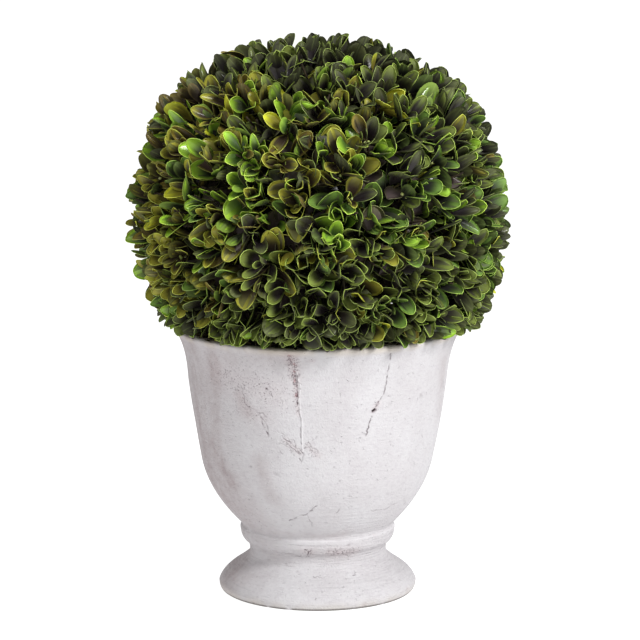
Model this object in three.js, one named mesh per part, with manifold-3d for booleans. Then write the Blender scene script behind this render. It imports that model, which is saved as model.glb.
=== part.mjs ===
// Box topiary ball: one clipped box shrub, grown as a ball, in a whitewashed pedestal urn.
// Millimetres, +Z up. The origin is the middle of the urn's flat underside.

import * as THREE from 'three';
import { mergeVertices } from 'three/addons/utils/BufferGeometryUtils.js';
import Module from 'manifold-3d';

const wasm = await Module();
wasm.setup();

// Driving dimensions
const BALL_RADIUS = 152.5; // reach of the furthest leaf tips at the ball's sides
const BALL_CENTRE_HEIGHT = 293.5;
const SHOULDER_BULGE = 8.5; // the shears left the ball a little square: it reaches further halfway up
const SHOULDER_POLAR = 48; // degrees from the top
const SHOULDER_SPREAD = 19; // degrees
const CORE_DEPTH = 30.5; // from the leaf tips to the dense inner growth, where leaves meet twigs
const CORE_ROUGHNESS = 2.5;
const CORE_DETAIL = 4;
const CORE_UNDERSIDE = 204;
const SOIL_LEVEL = 176;
const SOIL_EDGE_DROP = 3;
const SEAT_GAP = 0.3; // between pieces that touch
const SOIL_WALL_GAP = 0.6; // the soil has half as many sides as the wall it fills

const STEM_FLARE_RADIUS = 13;
const STEM_FLARE_HEIGHT = 12;
const STEM_SEAT_MARGIN = 1; // level soil beyond the flare
const STEM_RADIUS = 8;
const STEM_TOP_RADIUS = 6.8;
const STEM_TOP = 198;
const INNER_STEM_TOP_RADIUS = 5.5;
const INNER_STEM_TOP = 240;

const SPRIG_COUNT = 104;
const SPRIG_POLAR_LIMIT = 121; // degrees from the top, where the rim stops the foliage
const SPRIG_SPREAD_LIMIT = 100; // lower sprigs turn up to this, so their leaves pass over the rim
const SPRIG_PLACE_JITTER = 2.5; // degrees
const SPRIG_TILT = 7; // degrees
const SPRIG_SINK = 5;
const SPRIG_END_DEPTH = 16; // from the leaf tips to a twig's end
const SPRIG_END_SPREAD = 2;
const TWIG_BASE_RADIUS = 2.6;
const TWIG_END_RADIUS = 1.8;
const LEAF_PAIRS = [
  { foot: 10, lean: 60, length: 37, width: 25 },
  { foot: 4.5, lean: 32, length: 26, width: 22 },
];
const LEAF_LEAN_SPREAD = 8; // degrees
const LEAF_SIZE_SPREAD = 0.1; // part of its size
const LEAF_TRIES = 8; // a leaf that would touch another is tried again, smaller and closer to its twig
const LEAF_SHRINK = 0.065; // part of its size and lean, at each try
const LEAF_SHOULDER_PLACE = 0.62; // part of the leaf's length, from its root
const LEAF_TIP_PLACE = 0.97;
const LEAF_TIP_SHARE = 0.2; // half of the blunt tip, as part of the width
const LEAF_SHOULDER_LIFT = 0.8;
const LEAF_TIP_LIFT = 2.4;
const LEAF_KEEL_DEPTH = 1;
const RIM_CLEARANCE = 0.6;
const SEED = 77;

const URN_SEGMENTS = 44;
const SOIL_SEGMENTS = URN_SEGMENTS / 2;
const STEM_SEGMENTS = 12;
const TWIG_SEGMENTS = 3;
const SECTION_TOLERANCE = 0.3; // how far a facet may leave a bend of a section

// Points of the urn's section, each [radius, height]. The odd ones pull the curves between the others.
const URN = {
  contact: [76, 0],
  contactPull: [78.5, 0.5],
  footWidest: [79, 6],
  footPull: [77, 12],
  footShoulder: [69.5, 17.5],
  slopePull: [61, 23],
  waistStart: [55.5, 28.5],
  waistPull: [53.5, 34],
  waistEnd: [56.5, 39],
  collarPull: [61.5, 42.5],
  collarWidest: [61.7, 48],
  collarTopPull: [62.6, 51.5],
  collarTop: [61, 53],
  bowlStart: [59, 54],
  bowlLowPull: [76, 69.5],
  bowlHighPull: [89.5, 89.5],
  bowlBelly: [92.5, 110],
  wallPull: [96.5, 130],
  wallTop: [102.5, 172],
  flarePull: [104.5, 196.5],
  lipUnder: [112, 209.5],
  lipOuterPull: [115.8, 214.4],
  lipCrown: [108.5, 214.6],
  lipInnerPull: [103, 214.6],
  mouth: [101, 207],
  mouthPull: [94, 194],
  innerWallTop: [91, 172],
  innerWallPull: [85, 130],
  innerBelly: [81, 112],
  innerBowlPull: [77, 90],
  innerFloorPull: [66, 69],
  floorEdge: [44, 66],
};
const FLOOR_HEIGHT = 64;

const WHITEWASH = { color: 0xdcd5d6, roughness: 0.9 };
const DRY_SOIL = { color: 0x3a2b20, roughness: 1 };
const BARK = { color: 0x5b4a36, roughness: 0.85 };
const WAXY_LEAVES = { color: 0x3f5a1e, roughness: 0.45 };

const up = new THREE.Vector3(0, 0, 1);
const ballCentre = up.clone().multiplyScalar(BALL_CENTRE_HEIGHT);
const goldenAngle = Math.PI * (3 - Math.sqrt(5));

function point([radius, height]) {
  return new THREE.Vector2(radius, height);
}

// A seeded run of numbers from 0 to 1, the same at every build
function makeRandom(seed) {
  const multiplier = 1664525;
  const increment = 1013904223;
  const modulus = 2 ** 32;
  let state = seed;
  return () => {
    state = (state * multiplier + increment) % modulus;
    return state / modulus;
  };
}

// A number of either sign, up to the given amount
function swing(random, amount) {
  return amount * (2 * random() - 1);
}

// Points along a bent stretch of section, leaving out its first, which the stretch before it ends on.
// A chord c over an arc that turns by t leaves it by c * t / 8, which sets the number of steps.
function bend(...controls) {
  const points = controls.map(point);
  const curve = points.length === 3
    ? new THREE.QuadraticBezierCurve(...points)
    : new THREE.CubicBezierCurve(...points);
  const first = points[1].clone().sub(points[0]);
  const last = points.at(-1).clone().sub(points.at(-2));
  const bulge = (points[0].distanceTo(points.at(-1)) * first.angleTo(last)) / 8;
  const steps = Math.max(1, Math.ceil(Math.sqrt(bulge / SECTION_TOLERANCE)));
  return curve.getPoints(steps).slice(1);
}

// A closed section on the axis, turned about +Z
function turned(profile, segments) {
  return new THREE.LatheGeometry(profile, segments).rotateX(Math.PI / 2);
}

function urnInnerWall() {
  return [
    ...bend(URN.mouth, URN.mouthPull, URN.innerWallTop),
    ...bend(URN.innerWallTop, URN.innerWallPull, URN.innerBelly),
    ...bend(URN.innerBelly, URN.innerBowlPull, URN.innerFloorPull, URN.floorEdge),
  ];
}

function urnGeometry() {
  const foot = [
    ...bend(URN.contact, URN.contactPull, URN.footWidest),
    ...bend(URN.footWidest, URN.footPull, URN.footShoulder),
    ...bend(URN.footShoulder, URN.slopePull, URN.waistStart),
    ...bend(URN.waistStart, URN.waistPull, URN.waistEnd),
  ];
  const collar = [
    ...bend(URN.waistEnd, URN.collarPull, URN.collarWidest),
    ...bend(URN.collarWidest, URN.collarTopPull, URN.collarTop),
    point(URN.bowlStart),
  ];
  const bowl = [
    ...bend(URN.bowlStart, URN.bowlLowPull, URN.bowlHighPull, URN.bowlBelly),
    ...bend(URN.bowlBelly, URN.wallPull, URN.wallTop),
    ...bend(URN.wallTop, URN.flarePull, URN.lipUnder),
  ];
  const lip = [
    ...bend(URN.lipUnder, URN.lipOuterPull, URN.lipCrown),
    ...bend(URN.lipCrown, URN.lipInnerPull, URN.mouth),
  ];
  const profile = [
    point([0, 0]),
    point(URN.contact),
    ...foot,
    ...collar,
    ...bowl,
    ...lip,
    ...urnInnerWall(),
    point([0, FLOOR_HEIGHT]),
  ];
  return turned(profile, URN_SEGMENTS);
}

// Soil fills the urn up to its own level and keeps the seat gap to the wall and the floor
function soilGeometry() {
  const edgeHeight = SOIL_LEVEL - SOIL_EDGE_DROP;
  const wall = [point(URN.mouth), ...urnInnerWall()];
  const above = wall.findLast((p) => p.y > edgeHeight);
  const covered = wall.filter((p) => p.y <= edgeHeight);
  const share = (above.y - edgeHeight) / (above.y - covered[0].y);
  const edge = above.clone().lerp(covered[0], share);
  const side = [edge, ...covered].map((p) => new THREE.Vector2(p.x - SOIL_WALL_GAP, p.y + SEAT_GAP));
  const profile = [
    point([0, FLOOR_HEIGHT + SEAT_GAP]),
    ...side.reverse(),
    point([STEM_FLARE_RADIUS + STEM_SEAT_MARGIN, SOIL_LEVEL]),
    point([0, SOIL_LEVEL]),
  ];
  return turned(profile, SOIL_SEGMENTS);
}

// The short stem that the foliage hides: cut flat at the soil, flared at its foot, tapering upwards
function stemGeometry() {
  const foot = SOIL_LEVEL + SEAT_GAP;
  const flare = bend(
    [STEM_FLARE_RADIUS, foot],
    [STEM_RADIUS, foot + STEM_FLARE_HEIGHT / 4],
    [STEM_RADIUS, foot + STEM_FLARE_HEIGHT],
  );
  const profile = [
    point([0, foot]),
    point([STEM_FLARE_RADIUS, foot]),
    ...flare,
    point([STEM_TOP_RADIUS, STEM_TOP]),
    point([0, STEM_TOP]),
  ];
  return turned(profile, STEM_SEGMENTS);
}

function solidFrom(geometry) {
  const bare = geometry.index ? geometry : geometry.clone();
  bare.deleteAttribute('normal');
  bare.deleteAttribute('uv');
  const merged = mergeVertices(bare);
  const vertProperties = new Float32Array(merged.attributes.position.array);
  const triVerts = new Uint32Array(merged.index.array);
  return new wasm.Manifold(new wasm.Mesh({ numProp: 3, vertProperties, triVerts }));
}

function geometryFrom(solid) {
  const mesh = solid.getMesh();
  const geometry = new THREE.BufferGeometry();
  geometry.setAttribute('position', new THREE.BufferAttribute(new Float32Array(mesh.vertProperties), 3));
  geometry.setIndex(new THREE.BufferAttribute(new Uint32Array(mesh.triVerts), 1));
  geometry.computeVertexNormals();
  return geometry;
}

// How far the furthest leaf tips are from the ball's centre, along a direction
function reachAlong(outward) {
  const polar = THREE.MathUtils.radToDeg(outward.angleTo(up));
  return BALL_RADIUS + SHOULDER_BULGE * Math.exp(-(((polar - SHOULDER_POLAR) / SHOULDER_SPREAD) ** 2));
}

// Dense inner growth: a rough ball, flat where it ends inside the urn's mouth
function coreGeometry(random) {
  const ball = new THREE.IcosahedronGeometry(BALL_RADIUS, CORE_DETAIL);
  ball.deleteAttribute('normal');
  ball.deleteAttribute('uv');
  const core = mergeVertices(ball);
  const position = core.attributes.position;
  const corner = new THREE.Vector3();
  for (let i = 0; i < position.count; i += 1) {
    corner.fromBufferAttribute(position, i);
    corner.setLength(reachAlong(corner) - CORE_DEPTH + swing(random, CORE_ROUGHNESS)).add(ballCentre);
    position.setXYZ(i, corner.x, corner.y, Math.max(corner.z, CORE_UNDERSIDE));
  }
  return core;
}

function innerStemGeometry() {
  const foot = STEM_TOP + SEAT_GAP;
  const length = INNER_STEM_TOP - foot;
  return new THREE.CylinderGeometry(INNER_STEM_TOP_RADIUS, STEM_TOP_RADIUS, length, STEM_SEGMENTS)
    .rotateX(Math.PI / 2)
    .translate(0, 0, foot + length / 2);
}

// A box leaf along +Y from its root, upper side to +Z: narrow at the root, widest past its middle,
// blunt at the tip, curling up to the tip, with a keel below. Faces name their corners in that order.
function leafGeometry(length, width) {
  const shoulder = LEAF_SHOULDER_PLACE * length;
  const tip = LEAF_TIP_PLACE * length;
  const vertices = [
    [0, 0, 0],
    [width / 2, shoulder, LEAF_SHOULDER_LIFT],
    [width * LEAF_TIP_SHARE, tip, LEAF_TIP_LIFT],
    [-width * LEAF_TIP_SHARE, tip, LEAF_TIP_LIFT],
    [-width / 2, shoulder, LEAF_SHOULDER_LIFT],
  ];
  const keel = vertices.length;
  const underside = vertices.flatMap((unused, i) => [(i + 1) % keel, i, keel]);
  const upperSide = [0, 1, 4, 1, 2, 3, 1, 3, 4];
  vertices.push([0, shoulder, -LEAF_KEEL_DEPTH]);
  const geometry = new THREE.BufferGeometry();
  geometry.setAttribute('position', new THREE.BufferAttribute(new Float32Array(vertices.flat()), 3));
  geometry.setIndex([...upperSide, ...underside]);
  return geometry;
}

function directionAt(polar, azimuth) {
  return new THREE.Vector3().setFromSphericalCoords(1, polar, azimuth).applyAxisAngle(
    new THREE.Vector3(1, 0, 0),
    Math.PI / 2,
  );
}

// Where each sprig leaves the core, spread evenly by the golden angle, and the way it points
function sprigPlaces(random) {
  const lowest = Math.cos(THREE.MathUtils.degToRad(SPRIG_POLAR_LIMIT));
  const jitter = THREE.MathUtils.degToRad(SPRIG_PLACE_JITTER);
  const tilt = THREE.MathUtils.degToRad(SPRIG_TILT);
  const spreadLimit = THREE.MathUtils.degToRad(SPRIG_SPREAD_LIMIT);
  const places = [];
  for (let i = 0; i < SPRIG_COUNT; i += 1) {
    const height = THREE.MathUtils.lerp(1, lowest, (i + 0.5) / SPRIG_COUNT);
    const polar = Math.acos(height) + swing(random, jitter);
    const azimuth = i * goldenAngle + swing(random, jitter);
    const outward = directionAt(polar, azimuth);
    const reach = reachAlong(outward);
    places.push({
      outward,
      way: directionAt(Math.min(polar, spreadLimit) + swing(random, tilt), azimuth + swing(random, tilt)),
      start: reach - CORE_DEPTH - SPRIG_SINK,
      end: reach - SPRIG_END_DEPTH + swing(random, SPRIG_END_SPREAD),
      turn: swing(random, Math.PI),
    });
  }
  return places;
}

// Turns +Y to the way a sprig points, with the sprig's own turn about it
function sprigFrame(place) {
  const upright = new THREE.Vector3(0, 1, 0);
  const frame = new THREE.Quaternion().setFromUnitVectors(upright, place.way);
  return frame.multiply(new THREE.Quaternion().setFromAxisAngle(upright, place.turn));
}

function staysInBall(geometry) {
  const position = geometry.attributes.position;
  const corner = new THREE.Vector3();
  for (let i = 0; i < position.count; i += 1) {
    corner.fromBufferAttribute(position, i);
    const overRim = corner.z > URN.lipCrown[1] + RIM_CLEARANCE;
    corner.sub(ballCentre);
    if (!overRim || corner.length() > reachAlong(corner)) {
      return false;
    }
  }
  return true;
}

// A twig or leaf with what is needed to tell if it touches another
function sprout(geometry) {
  geometry.computeBoundingSphere();
  return { solid: solidFrom(geometry), bounds: geometry.boundingSphere };
}

function touchesAny(candidate, others) {
  return others.some(
    (other) => candidate.bounds.intersectsSphere(other.bounds)
      && !candidate.solid.intersect(other.solid).isEmpty(),
  );
}

// One sprig: a three-sided twig and its pairs of opposite leaves, each pair a quarter turn from the last.
// A leaf that would leave the ball's space or touch another sprig is skipped.
function growSprig(place, random, others) {
  const frame = sprigFrame(place);
  const root = place.outward.clone().multiplyScalar(place.start).add(ballCentre);
  const length = place.end - place.start;
  const twig = new THREE.CylinderGeometry(TWIG_END_RADIUS, TWIG_BASE_RADIUS, length, TWIG_SEGMENTS)
    .translate(0, length / 2, 0)
    .applyQuaternion(frame)
    .translate(root.x, root.y, root.z);
  const sprig = [sprout(twig)];
  LEAF_PAIRS.forEach((pair, tier) => {
    for (let side = 0; side < 2; side += 1) {
      const size = 1 + swing(random, LEAF_SIZE_SPREAD);
      for (let tries = 0; tries < LEAF_TRIES; tries += 1) {
        const scale = size - tries * LEAF_SHRINK;
        const lean = THREE.MathUtils.degToRad(scale * (pair.lean + swing(random, LEAF_LEAN_SPREAD)));
        const leaf = leafGeometry(pair.length * scale, pair.width * scale)
          .rotateX(-lean)
          .rotateY(tier * (Math.PI / 2) + side * Math.PI)
          .translate(0, length - pair.foot, 0)
          .applyQuaternion(frame)
          .translate(root.x, root.y, root.z);
        const candidate = sprout(leaf);
        if (staysInBall(leaf) && !touchesAny(candidate, others)) {
          sprig.push(candidate);
          break;
        }
      }
    }
  });
  return sprig;
}

// The clipped ball as one solid. Only its largest body is kept, which fills sealed hollows.
function foliageGeometry() {
  const random = makeRandom(SEED);
  const growth = [];
  sprigPlaces(random).forEach((place) => {
    growth.push(...growSprig(place, random, growth));
  });
  const heart = [coreGeometry(random), innerStemGeometry()].map(solidFrom);
  const whole = wasm.Manifold.union([...heart, ...growth.map((part) => part.solid)]);
  const bodies = whole.simplify().decompose();
  const largest = bodies.reduce((a, b) => (a.volume() > b.volume() ? a : b));
  return geometryFrom(largest);
}

function piece(name, geometry, finish) {
  const mesh = new THREE.Mesh(geometry, new THREE.MeshStandardMaterial({ ...finish, metalness: 0 }));
  mesh.name = name;
  return mesh;
}

const topiary = new THREE.Group();
topiary.add(piece('urn', urnGeometry(), WHITEWASH));
topiary.add(piece('soil', soilGeometry(), DRY_SOIL));
topiary.add(piece('stem', stemGeometry(), BARK));
topiary.add(piece('foliage_ball', foliageGeometry(), WAXY_LEAVES));

export default topiary;
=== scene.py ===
# %% [markdown]
# # A clipped box ball in a pedestal urn
#
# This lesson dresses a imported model: a small box shrub, clipped to a ball, in a whitewashed clay urn. The
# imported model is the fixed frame. It has the true sizes and places of four solids, the urn, the soil, the
# stem and the ball of foliage. Each step below puts finer pieces in the place of one of them. Their sizes
# are written in millimetres, as a gardener or a potter would give them, and turned to metres at the last
# moment, when a mesh is made. The camera, the lamps and the materials count in metres from the start.

# %% Load the frame
import math

import bmesh
import bpy
import numpy as np
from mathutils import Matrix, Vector, noise


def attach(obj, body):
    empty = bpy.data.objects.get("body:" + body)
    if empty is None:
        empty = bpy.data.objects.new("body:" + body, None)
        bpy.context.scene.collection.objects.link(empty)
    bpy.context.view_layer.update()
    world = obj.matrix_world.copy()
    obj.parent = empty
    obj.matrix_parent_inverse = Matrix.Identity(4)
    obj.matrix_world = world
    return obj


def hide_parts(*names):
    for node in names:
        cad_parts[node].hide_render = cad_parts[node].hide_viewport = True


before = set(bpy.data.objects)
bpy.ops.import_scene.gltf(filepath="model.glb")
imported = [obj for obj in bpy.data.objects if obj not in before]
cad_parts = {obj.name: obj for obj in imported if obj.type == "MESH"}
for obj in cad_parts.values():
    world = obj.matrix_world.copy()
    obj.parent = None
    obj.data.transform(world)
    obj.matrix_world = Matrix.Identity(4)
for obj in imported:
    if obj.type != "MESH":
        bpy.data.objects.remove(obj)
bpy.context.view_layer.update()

MM = 0.001
print("nodes:", ", ".join(sorted(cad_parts)))

# %% [markdown]
# ## The camera
#
# The picture was taken from a little above the rim, from far enough away that the urn's foot and lip show
# as flat ellipses. A camera can be set by eye, but this one's height and distance were worked out from
# those two ellipses, so that foot and lip both fall into place. It is made first, so that every later piece
# can be looked at through it.

# %% Camera
CAMERA_PLACE = (0.002, -2.336, 0.637)
CAMERA_TARGET = (0.002, 0.0, 0.217)
CAMERA_LENS = 168.5  # mm on a sensor 36 mm wide


def aim(thing, target):
    """Turns a camera or a light so that it looks at a point."""
    thing.rotation_euler = (Vector(target) - thing.location).to_track_quat("-Z", "Y").to_euler()


lens = bpy.data.cameras.new("camera")
lens.lens = CAMERA_LENS
lens.sensor_width = 36.0
camera = bpy.data.objects.new("camera", lens)
camera.location = CAMERA_PLACE
aim(camera, CAMERA_TARGET)
bpy.context.scene.collection.objects.link(camera)
bpy.context.scene.camera = camera
print("camera stands", round((camera.location - Vector(CAMERA_TARGET)).length, 3), "m from what it looks at")

# %% [markdown]
# ## Tools for meshes
#
# A shrub is many small things that differ a little. A modifier or an instance would be lost when the model
# is handed on, so every piece here is a real mesh, worked out for thousands of leaves at once as arrays of
# numbers. One helper turns such arrays into a mesh. Each vertex can carry marks, numbers that a material
# reads later.

# %% From arrays to a mesh
def unit(v):
    """Directions of length 1."""
    return v / np.linalg.norm(v, axis=-1, keepdims=True)


def mesh_piece(name, points, triangles, materials, finish=None, flat=None, marks=None):
    """A mesh object from points in mm and triangles. finish is each face's material, flat which faces
    aren't smooth, and marks a value for each point, by name."""
    mesh = bpy.data.meshes.new(name)
    faces = len(triangles)
    mesh.vertices.add(len(points))
    mesh.vertices.foreach_set("co", (points * MM).astype(np.float32).ravel())
    mesh.loops.add(3 * faces)
    mesh.loops.foreach_set("vertex_index", triangles.astype(np.int32).ravel())
    mesh.polygons.add(faces)
    mesh.polygons.foreach_set("loop_start", np.arange(0, 3 * faces, 3, dtype=np.int32))
    for material in materials:
        mesh.materials.append(material)
    if finish is not None:
        mesh.polygons.foreach_set("material_index", finish.astype(np.int32))
    mesh.update(calc_edges=True)
    mesh.polygons.foreach_set("use_smooth", np.ones(faces, bool) if flat is None else ~flat)
    for label, values in (marks or {}).items():
        numbers = values.astype(np.float32).ravel()
        mesh.attributes.new(label, "FLOAT", "POINT").data.foreach_set("value", numbers)
    mesh.validate()
    piece = bpy.data.objects.new(name, mesh)
    bpy.context.scene.collection.objects.link(piece)
    return piece


def repeated(triangles, count, corners):
    """The triangles of one body for many like it, each with as many points of its own."""
    offsets = (np.arange(count) * corners)[:, None, None]
    return (triangles[None] + offsets).reshape(-1, 3)


def fit_out(piece, slot, *nodes):
    """Hangs a piece on the body and lets it stand for the nodes that it replaces. slot is not used."""
    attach(piece, "root")
    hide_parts(*nodes)
    print(piece.name, "has", len(piece.data.polygons), "faces")


# %% [markdown]
# ## Tools for materials
#
# Every finish here is made of nodes: a colour that changes a little from place to place, a relief that is
# too fine to model, and a gloss. Painted pictures could do the same, but they blur close by and need the
# mesh unwrapped. The effects that several finishes share are node groups with named sockets: `mottle` mixes
# two colours by a soft noise, `grain` gives the height of a fine relief, and `speckle` marks small specks
# where a noise is over a threshold. The groups put out only colours and values. The shader itself stays in
# each material.

# %% Node helpers
def paint(red, green, blue):
    """A colour from a paint chart, 0 to 255, as the linear numbers that a shader takes."""
    chart = np.array([red, green, blue]) / 255.0
    linear = np.where(chart <= 0.04045, chart / 12.92, ((chart + 0.055) / 1.055) ** 2.4)
    return (*(float(v) for v in linear), 1.0)


def add_node(tree, kind, inputs=None, **settings):
    """Adds a node, sets its own settings, and fills or links its inputs."""
    node = tree.nodes.new(kind)
    for setting, value in settings.items():
        setattr(node, setting, value)
    for socket, value in (inputs or {}).items():
        if isinstance(value, bpy.types.NodeSocket):
            tree.links.new(value, node.inputs[socket])
        else:
            node.inputs[socket].default_value = value
    return node


def maths(tree, operation, *values, clamp=False):
    """The result of a sum on values or sockets."""
    inputs = dict(enumerate(values))
    return add_node(tree, "ShaderNodeMath", inputs, operation=operation, use_clamp=clamp).outputs[0]


def times(tree, first, second, plus=None):
    """The product of two values, with a third added where there is one."""
    if plus is None:
        return maths(tree, "MULTIPLY", first, second)
    return maths(tree, "MULTIPLY_ADD", first, second, plus)


def mixed(tree, factor, first, second, blend="MIX"):
    """A mix of two colours."""
    inputs = {0: factor, 6: first, 7: second}
    return add_node(tree, "ShaderNodeMix", inputs, data_type="RGBA", blend_type=blend).outputs[2]


def between(tree, value, low, high):
    """0 below low, 1 above high, and a soft step between them. high may be under low."""
    inputs = {"Value": value, 1: low, 2: high}
    return add_node(tree, "ShaderNodeMapRange", inputs, interpolation_type="SMOOTHSTEP").outputs["Result"]


def mark(tree, name):
    """A number that the mesh carries at each of its points."""
    return add_node(tree, "ShaderNodeAttribute", attribute_name=name).outputs["Fac"]


print("mid grey on the chart is", round(paint(128, 128, 128)[0], 3), "to a shader")


# %% Groups and materials
def new_group(name, inputs, outputs):
    """A node group with named sockets, and its two end nodes."""
    tree = bpy.data.node_groups.new(name, "ShaderNodeTree")
    for socket, kind, value in inputs:
        made = tree.interface.new_socket(socket, in_out="INPUT", socket_type="NodeSocket" + kind)
        made.default_value = value
    for socket, kind in outputs:
        tree.interface.new_socket(socket, in_out="OUTPUT", socket_type="NodeSocket" + kind)
    return tree, tree.nodes.new("NodeGroupInput"), tree.nodes.new("NodeGroupOutput")


def effect(tree, group, output, **inputs):
    """Places a shared group in a material and gives one of its outputs."""
    return add_node(tree, "ShaderNodeGroup", inputs, node_tree=group).outputs[output]


def new_material(name, **shader):
    """A material with a Principled shader, with the constant values on the shader's own sockets."""
    material = bpy.data.materials.new(name)
    material.use_nodes = True
    principled = material.node_tree.nodes["Principled BSDF"]
    for socket, value in shader.items():
        principled.inputs[socket.replace("_", " ")].default_value = value
    return material, material.node_tree, principled


def link_finish(tree, shader, colour, height=None, distance=0.001, strength=1.0):
    """Links a colour to a shader and, through a bump node, a height. distance is in metres."""
    tree.links.new(colour, shader.inputs["Base Color"])
    if height is not None:
        inputs = {"Height": height, "Distance": distance, "Strength": strength}
        bump = add_node(tree, "ShaderNodeBump", inputs)
        tree.links.new(bump.outputs["Normal"], shader.inputs["Normal"])


# %% The shared groups
STRETCH = ("Stretch", "Vector", (1, 1, 1))
MOTTLE_SOFTNESS = 0.16  # half of the step from one colour to the other


def stretched_noise(tree, start, detail):
    """A noise over the object's own space, which keeps its place from every side."""
    place = add_node(tree, "ShaderNodeTexCoord").outputs["Object"]
    inputs = {0: place, 1: start.outputs["Stretch"]}
    stretched = add_node(tree, "ShaderNodeVectorMath", inputs, operation="MULTIPLY").outputs[0]
    inputs = {"Vector": stretched, "Scale": start.outputs["Scale"], "Detail": detail}
    return add_node(tree, "ShaderNodeTexNoise", inputs).outputs["Fac"]


def make_mottle():
    """Two colours mixed by a soft noise."""
    tree, start, end = new_group(
        "mottle",
        [("Light", "Color", (0.8, 0.8, 0.8, 1)), ("Dark", "Color", (0.5, 0.5, 0.5, 1)),
         ("Scale", "Float", 100.0), STRETCH, ("Bias", "Float", 0.5)],
        [("Color", "Color"), ("Mask", "Float")],
    )
    low = maths(tree, "SUBTRACT", start.outputs["Bias"], MOTTLE_SOFTNESS)
    high = maths(tree, "ADD", start.outputs["Bias"], MOTTLE_SOFTNESS)
    mask = between(tree, stretched_noise(tree, start, 3.0), low, high)
    colour = mixed(tree, mask, start.outputs["Light"], start.outputs["Dark"])
    tree.links.new(colour, end.inputs["Color"])
    tree.links.new(mask, end.inputs["Mask"])
    return tree


def make_grain():
    """The height of a fine relief, a noise that can be stretched into lines."""
    tree, start, end = new_group(
        "grain",
        [("Scale", "Float", 400.0), ("Detail", "Float", 4.0), STRETCH],
        [("Height", "Float")],
    )
    tree.links.new(stretched_noise(tree, start, start.outputs["Detail"]), end.inputs["Height"])
    return tree


def make_speckle():
    """Small specks where a fine noise is over a threshold."""
    tree, start, end = new_group(
        "speckle",
        [("Scale", "Float", 400.0), STRETCH, ("Threshold", "Float", 0.7), ("Softness", "Float", 0.05)],
        [("Mask", "Float")],
    )
    full = maths(tree, "ADD", start.outputs["Threshold"], start.outputs["Softness"])
    mask = between(tree, stretched_noise(tree, start, 2.0), start.outputs["Threshold"], full)
    tree.links.new(mask, end.inputs["Mask"])
    return tree


MOTTLE = make_mottle()
GRAIN = make_grain()
SPECKLE = make_speckle()
print("shared groups:", ", ".join(group.name for group in (MOTTLE, GRAIN, SPECKLE)))

# %% [markdown]
# ## The shape of a box leaf
#
# A box leaf is broad, blunt and leathery, 15 to 30 mm long. Its upper side is hollow like a spoon and dark,
# its underside is paler, and its edge is a thin pale line. Those pale edges draw the whole shrub, so they
# are modelled: the upper side stops just short of the lower one, and a narrow band of faces joins them and
# takes a paler colour. Some leaves are oval and some are widest near the tip, so each leaf mixes two
# outlines in its own measure. One leaf has 146 triangles. It could be a flat card with a picture of a leaf
# on it, but a card has no hollow, and the hollow shades each leaf's foot. The material paints that shade
# in as well, dark at the foot and light at the tip.

# %% Rows and columns of a leaf
LEAF_ROWS = np.array([0.06, 0.17, 0.32, 0.47, 0.62, 0.75, 0.86, 0.94, 0.985])  # parts of the leaf's length
OVAL_WIDTHS = np.array([0.15, 0.46, 0.80, 0.96, 1.00, 0.93, 0.77, 0.56, 0.31])  # parts of its widest half
SPOON_WIDTHS = np.array([0.09, 0.27, 0.55, 0.79, 0.96, 1.00, 0.91, 0.70, 0.40])
UPPER_COLUMNS = np.array([-1.0, -0.5, 0.0, 0.5, 1.0])
LOWER_COLUMNS = np.array([-1.0, 0.0, 1.0])
LEAF_THICKNESS = 0.3
LEAF_EDGE = 0.27  # width of the pale band, seen from above
RIB_DEPTH = 0.16  # the middle rib is a groove above and a ridge below
RIB_SHARPNESS = 3  # power by which the rib fades out to both sides
LEAST_UPPER = 0.25  # part of the width that the upper side always keeps
POINT_FROM, POINT_OVER, POINT_NARROWS = 0.7, 0.3, 0.35  # where a sharp leaf narrows, and how much
TWIST_FROM = 0.3  # where along the leaf a twist turns nothing
WAVES_ALONG, WAVE_SHIFT = 7, 20  # how fast a wavy edge goes up and down, and how each leaf's own differs
LEAST_CURL = 1e-3  # radians, as a quite straight leaf would divide by nought
ROW_COUNT = len(LEAF_ROWS)
UPPER, LOWER, EDGE = range(3)


def leaf_faces():
    """The triangles of one leaf and which side each is on. Its points are the root, the upper rows, the upper
    tip, the lower rows and the lower tip."""
    up, down = len(UPPER_COLUMNS), len(LOWER_COLUMNS)
    upper = [[1 + row * up + column for column in range(up)] for row in range(ROW_COUNT)]
    upper_tip = 1 + ROW_COUNT * up
    lower = [[upper_tip + 1 + row * down + column for column in range(down)] for row in range(ROW_COUNT)]
    lower_tip = upper_tip + 1 + ROW_COUNT * down
    faces = []

    def strip(first, second, side, turned):
        for a, b, c, d in zip(first, first[1:], second[1:], second):
            for corners in ((a, b, c), (a, c, d)):
                kept = list(dict.fromkeys(corners))
                if len(kept) == 3:
                    faces.append((kept[::-1] if turned else kept, side))

    for rows, tip, side, turned in ((upper, upper_tip, UPPER, False), (lower, lower_tip, LOWER, True)):
        across = len(rows[0])
        for first, second in zip([[0] * across] + rows, rows + [[tip] * across]):
            strip(first, second, side, turned)
    for column, turned in ((0, True), (-1, False)):
        inner = [0] + [row[column] for row in upper] + [upper_tip]
        outer = [0] + [row[column] for row in lower] + [lower_tip]
        strip(inner, outer, EDGE, turned)
    return np.array([f for f, side in faces]), np.array([side for f, side in faces])


LEAF_TRIANGLES, LEAF_SIDES = leaf_faces()
LEAF_POINTS = int(LEAF_TRIANGLES.max()) + 1
print("one leaf:", LEAF_POINTS, "points,", len(LEAF_TRIANGLES), "triangles")


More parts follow.
